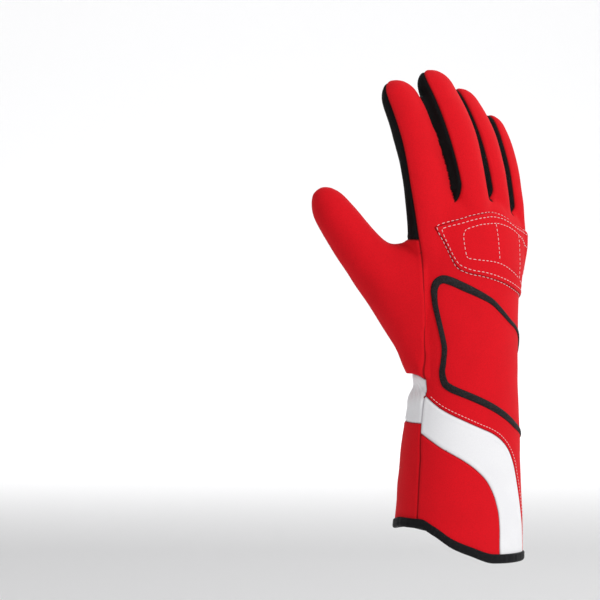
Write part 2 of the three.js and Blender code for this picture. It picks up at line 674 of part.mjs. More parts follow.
const bandTop = edgeLine(BAND_TOP);
const bandBottom = edgeLine(BAND_BOTTOM);
const bandEnd = BAND_TOP.at(-1).angle;
const bandCutter = (grow) => curtain(THUMB_SEAM, bandEnd, bandBottom, bandTop, grow);
const cuffBackCutter = (grow) =>
  curtain(THUMB_SEAM, BAND_BOTTOM.at(-1).angle, () => CUT_LOW, bandBottom, grow);
const tongueCutter = (grow) =>
  curtain(TONGUE_TOP[0].angle, 360 + THUMB_SEAM, edgeLine(TONGUE_BOTTOM), edgeLine(TONGUE_TOP), grow);
const frontCutter = (grow) => curtain(100, 360 + THUMB_SEAM + 4, () => CUT_LOW, edgeLine(PALM_EDGE), grow);

const fourchettePairs = [
  [0, 1],
  [1, 2],
  [2, 3],
];
const fourchettesCutter = (grow) => join(fourchettePairs.map(([a, b]) => fourchetteRegion(a, b, grow)));
const wholeBackCutter = (grow) => backCutter(grow).add(join(FINGERS.map((finger) => fingerBackCutter(finger, grow))));

// A piece cut back from what its cutters hold, with the gap of a seam.
function trim(piece, ...cutters) {
  return cutters.reduce((left, cutter) => left.subtract(cutter(0)).subtract(cutter(SEAM_GAP)), piece);
}

const handBack = trim(shell.intersect(wholeBackCutter(0)), fourchettesCutter, bandCutter, cuffBackCutter);
const thumbPanel = trim(shell.intersect(thumbBackCutter(0)), wholeBackCutter, fourchettesCutter);
const palm = trim(shell, frontCutter, wholeBackCutter, fourchettesCutter, thumbBackCutter);
const cuffFront = trim(
  shell.intersect(frontCutter(0)),
  backCutter,
  bandCutter,
  cuffBackCutter,
  thumbBackCutter,
  tongueCutter,
);
const cuffTongue = trim(shell.intersect(tongueCutter(0)), backCutter, bandCutter, cuffBackCutter);
const cuffBand = shell.intersect(bandCutter(0));
const cuffBack = trim(shell.intersect(cuffBackCutter(0)), bandCutter);

// The trim's ribbon, as a cutter through the layer that it is cut from.
function trimCutter() {
  const mid = TRIM_LINE.map((row) => ({ angle: row.angle, z: levelHeight(row.level), wide: row.wide }));
  const rings = mid.map((row, i) => {
    const before = mid[Math.max(0, i - 1)];
    const after = mid[Math.min(mid.length - 1, i + 1)];
    const perDegree = radians(bodySection(row.z).halfWidth * 0.85);
    const run = new THREE.Vector2((after.angle - before.angle) * perDegree, after.z - before.z).normalize();
    const half = (TRIM_WIDTH * row.wide) / 2;
    const corner = (sign, reach) =>
      bodyPoint(row.angle - (sign * run.y * half) / perDegree, row.z + sign * run.x * half, 0, reach);
    return [corner(1, 0.75), corner(1, 1.25), corner(-1, 1.25), corner(-1, 0.75)];
  });
  return loft(rings);
}

const palmPlace = ([across, level]) =>
  new THREE.Vector3((across * KNUCKLE_WIDTH) / 2, KNUCKLE_DEPTH / 4, GAUNTLET_LENGTH + (level - 1) * HAND_LENGTH);
const thumbPlace = ([out, up]) => thumbPoint(out * THUMB_REACH, up * THUMB_RISE);

const padLayer = layer(PAD_THICKNESS);
const trimLayer = layer(TRIM_THICKNESS);
const patchLayer = layer(PATCH_THICKNESS);
const knucklePad = padLayer.intersect(
  curtain(PAD_TOP[0].angle, PAD_TOP.at(-1).angle, edgeLine(PAD_BOTTOM), edgeLine(PAD_TOP)),
);
const trimLoop = trimLayer.intersect(trimCutter());
const palmPatch = patchLayer.intersect(prism(PALM_PATCH, palmPlace, new THREE.Vector3(0, -1, 0), -KNUCKLE_DEPTH));
const thenarPatch = patchLayer.intersect(prism(THENAR_PATCH, thumbPlace, THUMB_FACE, THUMB_DEPTH));
const thumbPatch = patchLayer.intersect(prism(THUMB_PATCH, thumbPlace, THUMB_FACE, THUMB_DEPTH));
const fingerPatches = FINGERS.map((finger) => {
  const { start, end, halfAngle } = FINGER_PATCH;
  const stations = [start, (start + end) / 2, end];
  const angles = stations.map(() => [180 - halfAngle, 180 + halfAngle]);
  return patchLayer.intersect(fingerCutter(finger, stations, angles, finger.width));
});

// The tape that folds over the mouth's edge, as a ring of U-shaped sections.
function bindingSolid() {
  const outer = LAY_GAP + BINDING_THICKNESS;
  const inner = -WALL - LAY_GAP - BINDING_THICKNESS;
  const section = [
    [outer, -outer],
    [outer, BINDING_HEIGHT],
    [LAY_GAP, BINDING_HEIGHT],
    [LAY_GAP, -LAY_GAP],
    [-WALL - LAY_GAP, -LAY_GAP],
    [-WALL - LAY_GAP, BINDING_HEIGHT],
    [inner, BINDING_HEIGHT],
    [inner, -outer],
  ];
  const points = [];
  const faces = [];
  const count = section.length;
  for (let i = 0; i < RING_POINTS; i++) {
    const angle = (i * 360) / RING_POINTS - 180;
    const edge = mouthHeight(angle);
    section.forEach(([outset, height]) => {
      const share = Math.max(0, height) / (BODY_HEIGHTS[0] - edge);
      const p = bodyPoint(angle, 0, outset).lerp(bodyPoint(angle, BODY_HEIGHTS[0], outset), share);
      points.push(p.x, p.y, edge + height);
    });
    const next = ((i + 1) % RING_POINTS) * count;
    for (let k = 0; k < count; k++) {
      const a = i * count + k;
      const b = i * count + ((k + 1) % count);
      const c = next + ((k + 1) % count);
      const d = next + k;
      faces.push(a, b, c, a, c, d);
    }
  }
  const geometry = new THREE.BufferGeometry();
  geometry.setAttribute("position", new THREE.Float32BufferAttribute(points, 3));
  geometry.setIndex(faces);
  return solidOf(geometry);
}

function meshOf(name, solid, look) {
  const { numProp, vertProperties, triVerts } = solid.getMesh();
  const positions = new Float32Array((vertProperties.length / numProp) * 3);
  for (let i = 0; i < positions.length / 3; i++) {
    positions.set(vertProperties.subarray(i * numProp, i * numProp + 3), i * 3);
  }
  const geometry = new THREE.BufferGeometry();
  geometry.setAttribute("position", new THREE.BufferAttribute(positions, 3));
  geometry.setIndex(new THREE.BufferAttribute(triVerts, 1));
  geometry.computeVertexNormals();
  const mesh = new THREE.Mesh(geometry, new THREE.MeshStandardMaterial(look));
  mesh.name = name;
  return mesh;
}

const glove = new THREE.Group();
glove.add(
  meshOf("hand_back", mainPiece(handBack), RED),
  meshOf("thumb_panel", mainPiece(thumbPanel), RED),
  meshOf("palm", mainPiece(palm), BLACK),
  ...fourchettePairs.map(([a, b]) =>
    meshOf(
      `fourchette_${FINGERS[a].name}_${FINGERS[b].name}`,
      mainPiece(shell.intersect(fourchetteRegion(a, b, 0))),
      BLACK,
    ),
  ),
  meshOf("cuff_band", mainPiece(cuffBand), WHITE),
  meshOf("cuff_back", mainPiece(cuffBack), RED),
  meshOf("cuff_front", mainPiece(cuffFront), WHITE),
  meshOf("cuff_tongue", mainPiece(cuffTongue), RED),
  meshOf("binding", mainPiece(bindingSolid().subtract(shell)), TAPE),
  meshOf("knuckle_pad", mainPiece(knucklePad), RED),
  meshOf("trim_loop", mainPiece(trimLoop), TRIM),
  meshOf("palm_patch", mainPiece(palmPatch), GREY),
  meshOf("thenar_patch", mainPiece(thenarPatch), GREY),
  meshOf("thumb_patch", mainPiece(thumbPatch), GREY),
  ...FINGERS.map((finger, i) => meshOf(`${finger.name}_patch`, mainPiece(fingerPatches[i]), GREY)),
);
export default glove;
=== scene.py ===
"""A right-hand karting glove held up by its cuff: red back, black palm, grey suede grips and a white swept band.

Lengths are in millimetres until a mesh is made, which is in metres. +Z runs from the gauntlet's mouth to the
fingertips, +X is the little finger's side and +Y the palm's. A section angle is 0 at the back of the hand, 90 at the
little finger's side, 180 at the palm and -90 at the thumb's side.
"""

from __future__ import annotations

import logging
import math
from collections.abc import Callable, Iterable, Sequence
from dataclasses import dataclass, field
from enum import Enum
from functools import partial

import bmesh
import bpy
import numpy as np
from mathutils import Matrix, Vector
from mathutils.bvhtree import BVHTree
from mathutils.kdtree import KDTree

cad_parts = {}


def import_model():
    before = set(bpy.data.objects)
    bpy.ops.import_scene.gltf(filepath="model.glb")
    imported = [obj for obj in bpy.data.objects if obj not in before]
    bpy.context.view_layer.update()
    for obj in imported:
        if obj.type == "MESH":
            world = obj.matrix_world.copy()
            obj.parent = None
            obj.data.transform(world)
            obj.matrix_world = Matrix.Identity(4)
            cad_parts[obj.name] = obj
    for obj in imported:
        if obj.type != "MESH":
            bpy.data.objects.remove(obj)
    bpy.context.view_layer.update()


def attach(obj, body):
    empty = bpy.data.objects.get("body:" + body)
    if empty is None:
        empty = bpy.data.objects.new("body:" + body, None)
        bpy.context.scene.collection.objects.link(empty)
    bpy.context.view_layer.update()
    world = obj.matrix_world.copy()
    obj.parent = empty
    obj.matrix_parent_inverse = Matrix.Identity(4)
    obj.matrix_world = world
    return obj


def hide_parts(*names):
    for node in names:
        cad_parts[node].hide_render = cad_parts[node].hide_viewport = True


LOG = logging.getLogger("karting_glove")

Array = np.ndarray
Object = bpy.types.Object
METRE = 0.001  # one millimetre

# Sizes of the hand and gauntlet
GAUNTLET_LENGTH = 99.0
HAND_LENGTH = 120.0
WEB_HEIGHT = GAUNTLET_LENGTH + HAND_LENGTH
MOUTH_WIDTH, MOUTH_DEPTH = 91.0, 71.0
WRIST_WIDTH, WRIST_DEPTH = 75.0, 56.0
KNUCKLE_WIDTH, KNUCKLE_DEPTH = 92.0, 38.0
KNUCKLE_ARCH = 7.0
MOUTH_SLANT = 15.0
WEB_DROP = 8.0
THUMB_REACH, THUMB_RISE, THUMB_SPAN, THUMB_DEPTH = 69.0, 76.0, 94.0, 36.0
THUMB_TURN = math.radians(38.0)
THUMB_FOLD = 3.0
THUMB_WEB = GAUNTLET_LENGTH + 0.79 * HAND_LENGTH
CLOTH = 1.3  # the cloth wall
MOUTH_SPARE = 9.0  # cloth below the mouth's edge, cut off along it
FAR = 99.0  # farther off than anything that is looked for
LEAST_DEGREE = 0.02  # the least length of one degree of a section
WELD = 1e-4  # corners nearer than this are joined
NORMAL_STEP = 5.0  # how far out of the body a direction is read


class Slot(Enum):
    """The record's material slots."""

    RED = "red_fabric"
    WHITE = "white_fabric"
    BLACK = "black_knit"
    GREY = "grey_suede"
    TRIM = "black_trim"
    TAPE = "black_tape"


def smoothstep(at: Array | float, low: float, high: float) -> Array:
    """A smooth step from 0 at low to 1 at high."""
    share = np.clip((np.asarray(at, float) - low) / (high - low), 0.0, 1.0)
    return share * share * (3.0 - 2.0 * share)


@dataclass(frozen=True)
class Graph:
    """A smooth curve through a table's rows, level beyond its ends and never past a row's value.

    Attributes:
        keys: Where the rows are, rising.
        values: The rows' values.
    """

    keys: tuple[float, ...]
    values: tuple[float, ...]

    def at(self, where: Array | float) -> Array:
        """The curve's values.

        Args:
            where: The places to read it.

        Returns:
            One value for each place.
        """
        keys = np.asarray(self.keys, float)
        values = np.asarray(self.values, float)
        gap = np.diff(keys)
        slope = np.diff(values) / gap
        tangent = np.zeros_like(values)
        same = slope[:-1] * slope[1:] > 0
        mean = 2 * slope[:-1] * slope[1:] / np.where(same, slope[:-1] + slope[1:], 1.0)
        tangent[1:-1] = np.where(same, mean, 0.0)
        tangent[0], tangent[-1] = slope[0], slope[-1]
        where = np.clip(np.asarray(where, float), keys[0], keys[-1])
        cell = np.clip(np.searchsorted(keys, where, side="right") - 1, 0, len(keys) - 2)
        step = gap[cell]
        share = (where - keys[cell]) / step
        rest = 1.0 - share
        return (
            values[cell] * (1 + 2 * share) * rest**2
            + values[cell + 1] * (1 + 2 * rest) * share**2
            + step * share * rest * (tangent[cell] * rest - tangent[cell + 1] * share)
        )


def level_height(level: Array | float) -> Array:
    """The height of a level: 0 is the mouth's middle, 1 the wrist's gather and 2 the webs."""
    level = np.asarray(level, float)
    return np.where(level <= 1, level * GAUNTLET_LENGTH, GAUNTLET_LENGTH + (level - 1) * HAND_LENGTH)


def angle_near(angle: Array, centre: float) -> Array:
    """Angles turned by whole turns until they are within half a turn of a centre."""
    return (angle - centre + 180.0) % 360.0 - 180.0 + centre


def degree_length(angle: Array, reach: Array, wide: Array, deep: Array) -> Array:
    """The lengths of one degree of oval sections, at angles in radians and reaches."""
    return np.maximum(reach * np.hypot(wide * np.cos(angle), deep * np.sin(angle)) * math.pi / 180, LEAST_DEGREE)


@dataclass(frozen=True)
class Edge:
    """A seam or an edge that crosses the body as a height for each section angle.

    Attributes:
        rows: Section angles and levels.
    """

    rows: tuple[tuple[float, float], ...]

    def height(self, angle: Array) -> Array:
        """The edge's height at section angles.

        Args:
            angle: Angles in degrees, in the rows' own turn.

        Returns:
            The heights.
        """
        angles = tuple(row[0] for row in self.rows)
        heights = tuple(float(level_height(row[1])) for row in self.rows)
        return Graph(angles, heights).at(angle)


PALM_SEAM = Graph(
    tuple(float(level_height(level)) for level in (-0.5, 1.03, 1.13, 1.3, 1.46, 1.62, 1.85, 2.2)),
    (117.5, 118.0, 116.5, 111.0, 106.0, 102.5, 100.0, 100.0),
)
# The thumb's side of the back: a section angle on the gauntlet, then a distance outwards in the thumb's plane
THUMB_SEAM = Graph((55.0, 88.0, 104.0), (-75.0, -80.0, -81.0))
THUMB_LINE = Graph((100.0, 105.0, 132.0, 142.0, 170.0, 195.0, 215.0), (26.8, 26.8, 27.4, 27.0, 28.2, 30.3, 31.5))
PALM_EDGE = Edge(
    ((100, 1.14), (110, 1.13), (132, 1.114), (148, 1.117), (166, 1.128), (185, 1.142), (226, 1.158), (231, 1.14),
     (243, 1.08), (248, 1.073), (262, 1.07), (285, 1.042), (292, 1.036))
)
BAND_TOP = Edge(
    ((-80, 0.96), (-75, 0.944), (-55, 0.873), (-33, 0.808), (-13, 0.75), (-2, 0.718), (10, 0.667), (20, 0.602),
     (27, 0.53), (33, 0.44), (39, 0.298), (43, 0.2), (52, -0.02), (58, -0.4))
)
BAND_BOTTOM = Edge(
    ((-80, 0.73), (-75, 0.715), (-63, 0.673), (-52, 0.63), (-42, 0.595), (-32, 0.557), (-22, 0.511), (-13, 0.457),
     (-7, 0.41), (-2, 0.35), (2, 0.28), (5, 0.19), (6.5, 0.05), (7, -0.4))
)
# The same edge below its bend, as a section angle for each height
BAND_BEND = 27.7
BAND_SIDE = Graph((-40.0, 5.0, 18.8, BAND_BEND), (7.0, 6.5, 5.0, 2.0))
TONGUE_TOP = Edge(
    ((137.4, 0.495), (138.5, 0.53), (141, 0.566), (146, 0.606), (156, 0.646), (179, 0.715), (210, 0.785),
     (292, 0.785))
)
TONGUE_BOTTOM = Edge(
    ((137.4, 0.495), (138.5, 0.462), (141, 0.43), (146, 0.395), (154, 0.369), (164, 0.363), (186, 0.363),
     (207, 0.333), (217, 0.27), (226, 0.14), (233, -0.4), (292, -0.4))
)
MOUTH_EDGE = Graph(
    (-180, -160, -128, -96, -71, -56, -38, -24, 0, 41, 90, 116, 153, 180),
    (0.3, 0.54, 0.66, 0.88, 0.88, 0.58, 0.04, -0.26, -0.67, -0.78, -0.85, -0.56, -0.08, 0.3),
)


def mouth_height(angle: Array) -> Array:
    """The height of the mouth's edge at section angles."""
    return MOUTH_EDGE.at(angle_near(np.asarray(angle, float), 0.0)) * MOUTH_SLANT


def frame_mesh(bm: bmesh.types.BMesh, name: str) -> Object:
    """A mesh object from a bmesh in millimetres, linked to the scene and in metres.

    Args:
        bm: The shape, which is freed.
        name: The object's name.

    Returns:
        The object.
    """
    bmesh.ops.scale(bm, vec=(METRE, METRE, METRE), verts=bm.verts)
    mesh = bpy.data.meshes.new(name)
    bm.to_mesh(mesh)
    bm.free()
    mesh.shade_smooth()
    obj = bpy.data.objects.new(name, mesh)
    bpy.context.scene.collection.objects.link(obj)
    return obj


def tube(
    bm: bmesh.types.BMesh,
    around: int,
    along: int,
    place: Callable[[Array, Array], Array],
    capped: bool = True,
) -> None:
    """Adds a closed tube: a grid that is rolled up, with its open ends filled.

    Args:
        bm: Takes the tube.
        around: Faces round the tube.
        along: Faces along the tube.
        place: Turns shares round and along the tube into points, an array of n by 3.
        capped: Whether the ends are filled.
    """
    made = bmesh.ops.create_grid(bm, x_segments=around, y_segments=along, size=1.0)["verts"]
    corners = np.array([v.co for v in made])
    points = place((corners[:, 0] + 1) / 2, (corners[:, 1] + 1) / 2)
    for vert, point in zip(made, points):
        vert.co = point
    bmesh.ops.remove_doubles(bm, verts=made, dist=WELD)
    if capped:
        kept = [v for v in made if v.is_valid]
        open_edges = list({e for v in kept for e in v.link_edges if e.is_boundary})
        bmesh.ops.holes_fill(bm, edges=open_edges, sides=0)


def rolled(name: str, around: int, along: int, place: Callable[[Array, Array], Array], capped: bool) -> Object:
    """A tube as an object of its own, with its faces outwards.

    Args:
        name: The object's name.
        around: Faces round the tube.
        along: Faces along the tube.
        place: Turns shares round and along the tube into points.
        capped: Whether the ends are filled.

    Returns:
        The object.
    """
    bm = bmesh.new()
    tube(bm, around, along, place, capped)
    bmesh.ops.recalc_face_normals(bm, faces=bm.faces)
    return frame_mesh(bm, name)


WEB_DROP_RISE, WEB_DROP_SIDE = (0.8, 1.0), (0.4, 0.75)  # where the hand's top is lowered, upwards and across
ARCH_ROUNDS = 4  # rounds that find the section angle under the arch
CROWN_WIDTH = 0.8  # the share of the width that the narrowing crown leaves alone


@dataclass(frozen=True)
class Body:
    """The gauntlet and the hand up to the webs, as oval sections over the height.

    Attributes:
        gauntlet: For each section its height share, how far its width and its depth are from the wrist's to the
            mouth's, and its centre across and palmward.
        hand: The same from the wrist to the knuckles, then the crown's size and the arch's share.
    """
    gauntlet: tuple[tuple[float, float, float, float, float], ...] = (
        (0.0, 1.02, 1.0, -0.043, 0.042),
        (0.2, 0.86, 0.88, -0.032, 0.039),
        (0.4, 0.7, 0.73, -0.031, 0.036),
        (0.66, 0.5, 0.53, -0.025, 0.028),
        (0.93, 0.12, 0.12, -0.009, 0.01),
        (1.0, 0.0, 0.0, -0.005, 0.0),
    )
    hand: tuple[tuple[float, float, float, float, float, float, float], ...] = (
        (0.22, 0.13, 0.25, 0.008, 0.0, 1.0, 0.25),
        (0.47, 0.5, 0.62, 0.022, 0.0, 1.0, 0.6),
        (0.72, 0.94, 0.88, 0.048, 0.0, 1.0, 1.0),
        (0.82, 1.0, 1.0, 0.052, 0.0, 0.96, 1.0),
        (0.9, 1.0, 1.0, 0.052, -0.01, 0.83, 1.0),
        (0.96, 1.0, 1.0, 0.052, -0.02, 0.64, 0.9),
        (1.0, 1.0, 1.0, 0.052, -0.02, 0.38, 0.8),
    )

    def graphs(self) -> dict[str, Graph]:
        """The sections' measures as smooth curves over the height.

        Returns:
            The curves of the centre, the half width, the half depth and the arch.
        """
        rows: dict[str, list[float]] = {name: [] for name in ("z", "x", "y", "wide", "deep", "arch")}

        def add(*measures: float) -> None:
            """Adds one section's measures, in the order of the rows' names."""
            for name, value in zip(rows, measures):
                rows[name].append(value)

        for rise, wide, deep, across, palmward in self.gauntlet:
            half_width = (WRIST_WIDTH + (MOUTH_WIDTH - WRIST_WIDTH) * wide) / 2
            half_depth = (WRIST_DEPTH + (MOUTH_DEPTH - WRIST_DEPTH) * deep) / 2
            add(rise * GAUNTLET_LENGTH, across * MOUTH_WIDTH, palmward * MOUTH_DEPTH, half_width, half_depth, 0.0)
        for rise, wide, deep, across, palmward, crown, arch in self.hand:
            narrowed = crown + (1 - crown) * CROWN_WIDTH
            half_width = (WRIST_WIDTH + (KNUCKLE_WIDTH - WRIST_WIDTH) * wide) / 2 * narrowed
            half_depth = (WRIST_DEPTH + (KNUCKLE_DEPTH - WRIST_DEPTH) * deep) / 2 * crown
            z = GAUNTLET_LENGTH + rise * HAND_LENGTH
            add(z, across * KNUCKLE_WIDTH, palmward * KNUCKLE_DEPTH, half_width, half_depth, arch * KNUCKLE_ARCH)
        heights = tuple(rows.pop("z"))
        return {name: Graph(heights, tuple(values)) for name, values in rows.items()}

    def points(self, angle: Array, z: Array, outset: Array | float = 0.0) -> Array:
        """Points on the body.

        Args:
            angle: Section angles in degrees.
            z: Heights.
            outset: How far the points are off the surface.

        Returns:
            The points, n by 3.
        """
        angle, z = np.broadcast_arrays(np.radians(np.asarray(angle, float)), np.asarray(z, float))
        s = {name: graph.at(z) for name, graph in BODY_GRAPHS.items()}
        sine, cosine = np.sin(angle), np.cos(angle)
        x = s["x"] + (s["wide"] + outset) * sine
        y = s["y"] - (s["deep"] + outset) * cosine + s["arch"] * sine**2
        return np.stack([x, y, z], -1)

    def web_shift(self, x: Array, z: Array) -> Array:
        """How far the hand's top is lowered towards the little finger, at places across and heights."""
        near = smoothstep((z - GAUNTLET_LENGTH) / HAND_LENGTH, *WEB_DROP_RISE)
        return -WEB_DROP * near * smoothstep(x / (KNUCKLE_WIDTH / 2), *WEB_DROP_SIDE)

    def add_to(self, bm: bmesh.types.BMesh, around: int, along: int) -> None:
        """Adds the body, closed at both ends, to a bmesh.

        Args:
            bm: Takes the body.
            around: Faces round it.
            along: Faces along it.
        """

        def place(round_share: Array, up_share: Array) -> Array:
            """Points from the mouth's spare cloth to the webs."""
            angle = round_share * 360.0 - 180.0
            low = mouth_height(angle) - MOUTH_SPARE
            z = low + (WEB_HEIGHT - low) * up_share
            points = self.points(angle, z)
            points[:, 2] += self.web_shift(points[:, 0], z)
            return points

        tube(bm, around, along, place)

    def locate(self, points: Array) -> tuple[Array, Array, Array]:
        """The section angle, the reach and the millimetres to a degree of points near the body.

        Args:
            points: The points, n by 3.

        Returns:
            The angles in degrees, the distances from the section's centre as shares of its size, and the lengths of
            one degree along the section.
        """
        s = {name: graph.at(points[:, 2]) for name, graph in BODY_GRAPHS.items()}
        x = points[:, 0] - s["x"]
        y = points[:, 1] - s["y"]
        angle = np.arctan2(x / s["wide"], -y / s["deep"])
        for _ in range(ARCH_ROUNDS):
            angle = np.arctan2(x / s["wide"], -(y - s["arch"] * np.sin(angle) ** 2) / s["deep"])
        reach = np.hypot(x / s["wide"], (y - s["arch"] * np.sin(angle) ** 2) / s["deep"])
        return np.degrees(angle), reach, degree_length(angle, reach, s["wide"], s["deep"])


BODY = Body()
BODY_GRAPHS = BODY.graphs()

# A finger's stations as shares of its length, its taper there, and how far its own root's width counts
FINGER_STATIONS = (-0.16, 0.06, 0.3, 0.55, 0.78, 1.0)
FINGER_TAPER = (0.7, 1.0, 1.0, 1.0, 0.94, 0.82)
FINGER_ROOT = (0.0, 0.9, 0.8, 0.0, 0.0, 0.0)
FINGER_FOOT, FINGER_RUN, FINGER_EASE = -0.16, 1.16, 0.9  # where it starts inside the hand and how its rings run
TIP_START, TIP_RUN = 0.87, 0.13  # the round tip, as shares of the length
FINGER_FILL, FINGER_SQUARE = 1.012, 0.93  # the section's fullness and its squareness
BEND_STEPS = 24  # steps in which the bend is summed up
FINGER_SEARCH = (-0.2, 1.04, 42)  # the first and last place where a point's own is looked for, and their number


@dataclass(frozen=True)
class Finger:
    """A finger that bends evenly from its root to its tip.

    Attributes:
        name: The finger's name.
        across: Its root's place, as a share of half the knuckles' width.
        palmward: The same as a share of half the knuckles' depth.
        rise: The same as a share of the hand's length.
        length: From root to tip.
        width: Across the finger.
        root: The share of its width at its root.
        depth: From back to front.
        lean: Its angle towards the little finger's side.
        curl: Its angles towards the palm at the root and at the tip.
        thumb_side: The section angle of its back's seam at the thumb's side.
        little_side: The same at the little finger's side.
    """

    name: str
    across: float
    palmward: float
    rise: float
    length: float
    width: float
    root: float
    depth: float
    lean: float
    curl: tuple[float, float]
    thumb_side: float
    little_side: float

    def measures(self) -> tuple[Graph, Graph]:
        """The finger's taper."""
        taper = tuple(a + (self.root - a) * b for a, b in zip(FINGER_TAPER, FINGER_ROOT))
        return Graph(FINGER_STATIONS, taper), Graph(FINGER_STATIONS, tuple(min(1.0, t) for t in taper))

    def frames(self, along: Array) -> tuple[Array, Array, Array, Array]:
        """The finger's middle line and directions.

        Args:
            along: Shares of the finger's length.

        Returns:
            The centres, the forward, the sideways and the palmward directions, each n by 3.
        """
        lean = math.radians(self.lean)

        def forward(share: Array) -> Array:
            """The direction of the finger at shares of its length."""
            bend = np.radians(self.curl[0] + (self.curl[1] - self.curl[0]) * share)
            return np.stack([math.sin(lean) * np.cos(bend), np.sin(bend), math.cos(lean) * np.cos(bend)], -1)

        shares = (np.arange(BEND_STEPS) + 0.5) / BEND_STEPS
        run = forward(shares[None, :] * along[:, None]).sum(axis=1) * (self.length * along / BEND_STEPS)[:, None]
        root_height = GAUNTLET_LENGTH + self.rise * HAND_LENGTH
        base = np.array([self.across * KNUCKLE_WIDTH / 2, self.palmward * KNUCKLE_DEPTH / 2, root_height])
        side = np.broadcast_to(np.array([math.cos(lean), 0.0, -math.sin(lean)]), (len(along), 3))
        ahead = forward(along)
        return base + run, ahead, side, np.cross(ahead, side)

    def add_to(self, bm: bmesh.types.BMesh, around: int, along: int) -> None:
        """Adds the finger, closed and with a round tip, to a bmesh.

        Args:
            bm: Takes the finger.
            around: Faces round it.
            along: Faces along it.
        """
        wide, deep = self.measures()

        def squared(wave: Array) -> Array:
            """A sine or cosine that makes the section a little squarer."""
            return np.sign(wave) * np.abs(wave) ** FINGER_SQUARE

        def place(round_share: Array, up_share: Array) -> Array:
            """Points from the foot inside the hand to the tip."""
            turn = round_share * 2 * math.pi
            share = FINGER_FOOT + FINGER_RUN * np.sin(up_share * math.pi / 2) ** FINGER_EASE
            past = np.clip((share - TIP_START) / TIP_RUN, 0.0, 1.0)
            fill = FINGER_FILL * np.sqrt(np.maximum(0.0, 1 - past**2))
            centre, _, side, palmward = self.frames(share)
            sideways = self.width / 2 * wide.at(share) * fill * squared(np.sin(turn))
            backwards = self.depth / 2 * deep.at(share) * fill * squared(np.cos(turn))
            return centre + side * sideways[:, None] - palmward * backwards[:, None]

        tube(bm, around, along, place)

    def locate(self, points: Array) -> tuple[Array, Array, Array, Array]:
        """Where points lie on the finger.

        Args:
            points: The points, n by 3.

        Returns:
            The shares of its length, the section angles in degrees, the reaches as shares of its size and the lengths
            of one degree.
        """
        stations = np.linspace(*FINGER_SEARCH)
        centre, ahead, side, palmward = self.frames(stations)
        near = ((points[:, None, :] - centre[None]) ** 2).sum(-1).argmin(1)
        offset = points - centre[near]
        along = stations[near] + (offset * ahead[near]).sum(-1) / self.length
        wide, deep = self.measures()
        half_width = self.width / 2 * wide.at(along)
        half_depth = self.depth / 2 * deep.at(along)
        sideways = (offset * side[near]).sum(-1)
        inward = (offset * palmward[near]).sum(-1)
        angle = np.arctan2(sideways / half_width, -inward / half_depth)
        reach = np.hypot(sideways / half_width, inward / half_depth)
        return along, np.degrees(angle), reach, degree_length(angle, reach, half_width, half_depth)


FINGERS = (
    Finger("index", -0.61, 0.05, 0.775, 111.5, 28.8, 1.14, 22.5, 0, (3, 40), -76, 55),
    Finger("middle", -0.015, -0.42, 0.79, 119.5, 27.5, 0.9, 21.5, 0.5, (4, 45), -55, 55),
    Finger("ring", 0.49, -0.12, 0.77, 109.5, 23.5, 0.9, 20.5, 2, (2, 47), -32, 62),
    Finger("little", 0.9, 0.2, 0.71, 94.5, 21, 0.92, 19, 3, (2, 36), -14, 124),
)

# The webs' heights, from the index finger to the little finger
WEBS = (218.0, 214.0, 204.5)


@dataclass(frozen=True)
class Thumb:
    """The thumb as a fan of ribs in a plane that leans from the thumb's side towards the palm.

    Attributes:
        ribs: For each rib its middle outwards and upwards, its half length, its thickness and its angle.
        out: The direction outwards in the plane.
        face: The direction out of the plane, palmward.
        centre: The first rib's place.
    """
    ribs: tuple[tuple[float, float, float, float, float], ...] = (
        (0.0, -0.02, 0.495, 0.94, 90),
        (0.24, 0.083, 0.362, 0.9, 90),
        (0.455, 0.31, 0.215, 0.82, 107),
        (0.65, 0.545, 0.165, 0.74, 126),
        (0.79, 0.725, 0.145, 0.68, 140),
        (0.885, 0.855, 0.124, 0.6, 144),
        (0.95, 0.94, 0.082, 0.42, 144),
        (0.98, 0.98, 0.04, 0.2, 144),
    )
    out: tuple[float, float, float] = (-math.cos(THUMB_TURN), math.sin(THUMB_TURN), 0.0)
    face: tuple[float, float, float] = (math.sin(THUMB_TURN), math.cos(THUMB_TURN), 0.0)
    centre: tuple[float, float, float] = (
        -0.66 * KNUCKLE_WIDTH / 2,
        0.3 * KNUCKLE_DEPTH / 2,
        GAUNTLET_LENGTH + 0.43 * HAND_LENGTH,
    )

    def add_to(self, bm: bmesh.types.BMesh, around: int, along: int) -> None:
        """Adds the thumb with its root to a bmesh.

        Args:
            bm: Takes the thumb.
            around: Faces round it.
            along: Faces along it.
        """
        keys = tuple(i / (len(self.ribs) - 1) for i in range(len(self.ribs)))
        out, up, half, thick, turn = (Graph(keys, tuple(rib[i] for rib in self.ribs)) for i in range(5))

        def place(round_share: Array, up_share: Array) -> Array:
            """Points from the first rib to the last."""
            angle = round_share * 2 * math.pi
            lean = np.radians(turn.at(up_share))
            length = half.at(up_share) * THUMB_SPAN * np.cos(angle)
            outwards = out.at(up_share) * THUMB_REACH + length * np.cos(lean)
            upwards = up.at(up_share) * THUMB_RISE + length * np.sin(lean)
            facing = thick.at(up_share) * THUMB_DEPTH / 2 * np.sin(angle)
            return (
                np.array(self.centre)
                + outwards[:, None] * np.array(self.out)
                + facing[:, None] * np.array(self.face)
                + upwards[:, None] * np.array([0.0, 0.0, 1.0])
            )

        tube(bm, around, along, place)

    def locate(self, points: Array) -> tuple[Array, Array, Array]:
        """How far points are outwards, upwards and palmward in the thumb's own plane."""
        offset = points - np.array(self.centre)
        return offset @ np.array(self.out), offset[:, 2], offset @ np.array(self.face)


THUMB = Thumb()


FINGER_ZONE = WEB_HEIGHT - 40.0  # no finger is looked for below this height
NEAR_ZERO = 1e-6  # the least size of a field's value before it is snapped


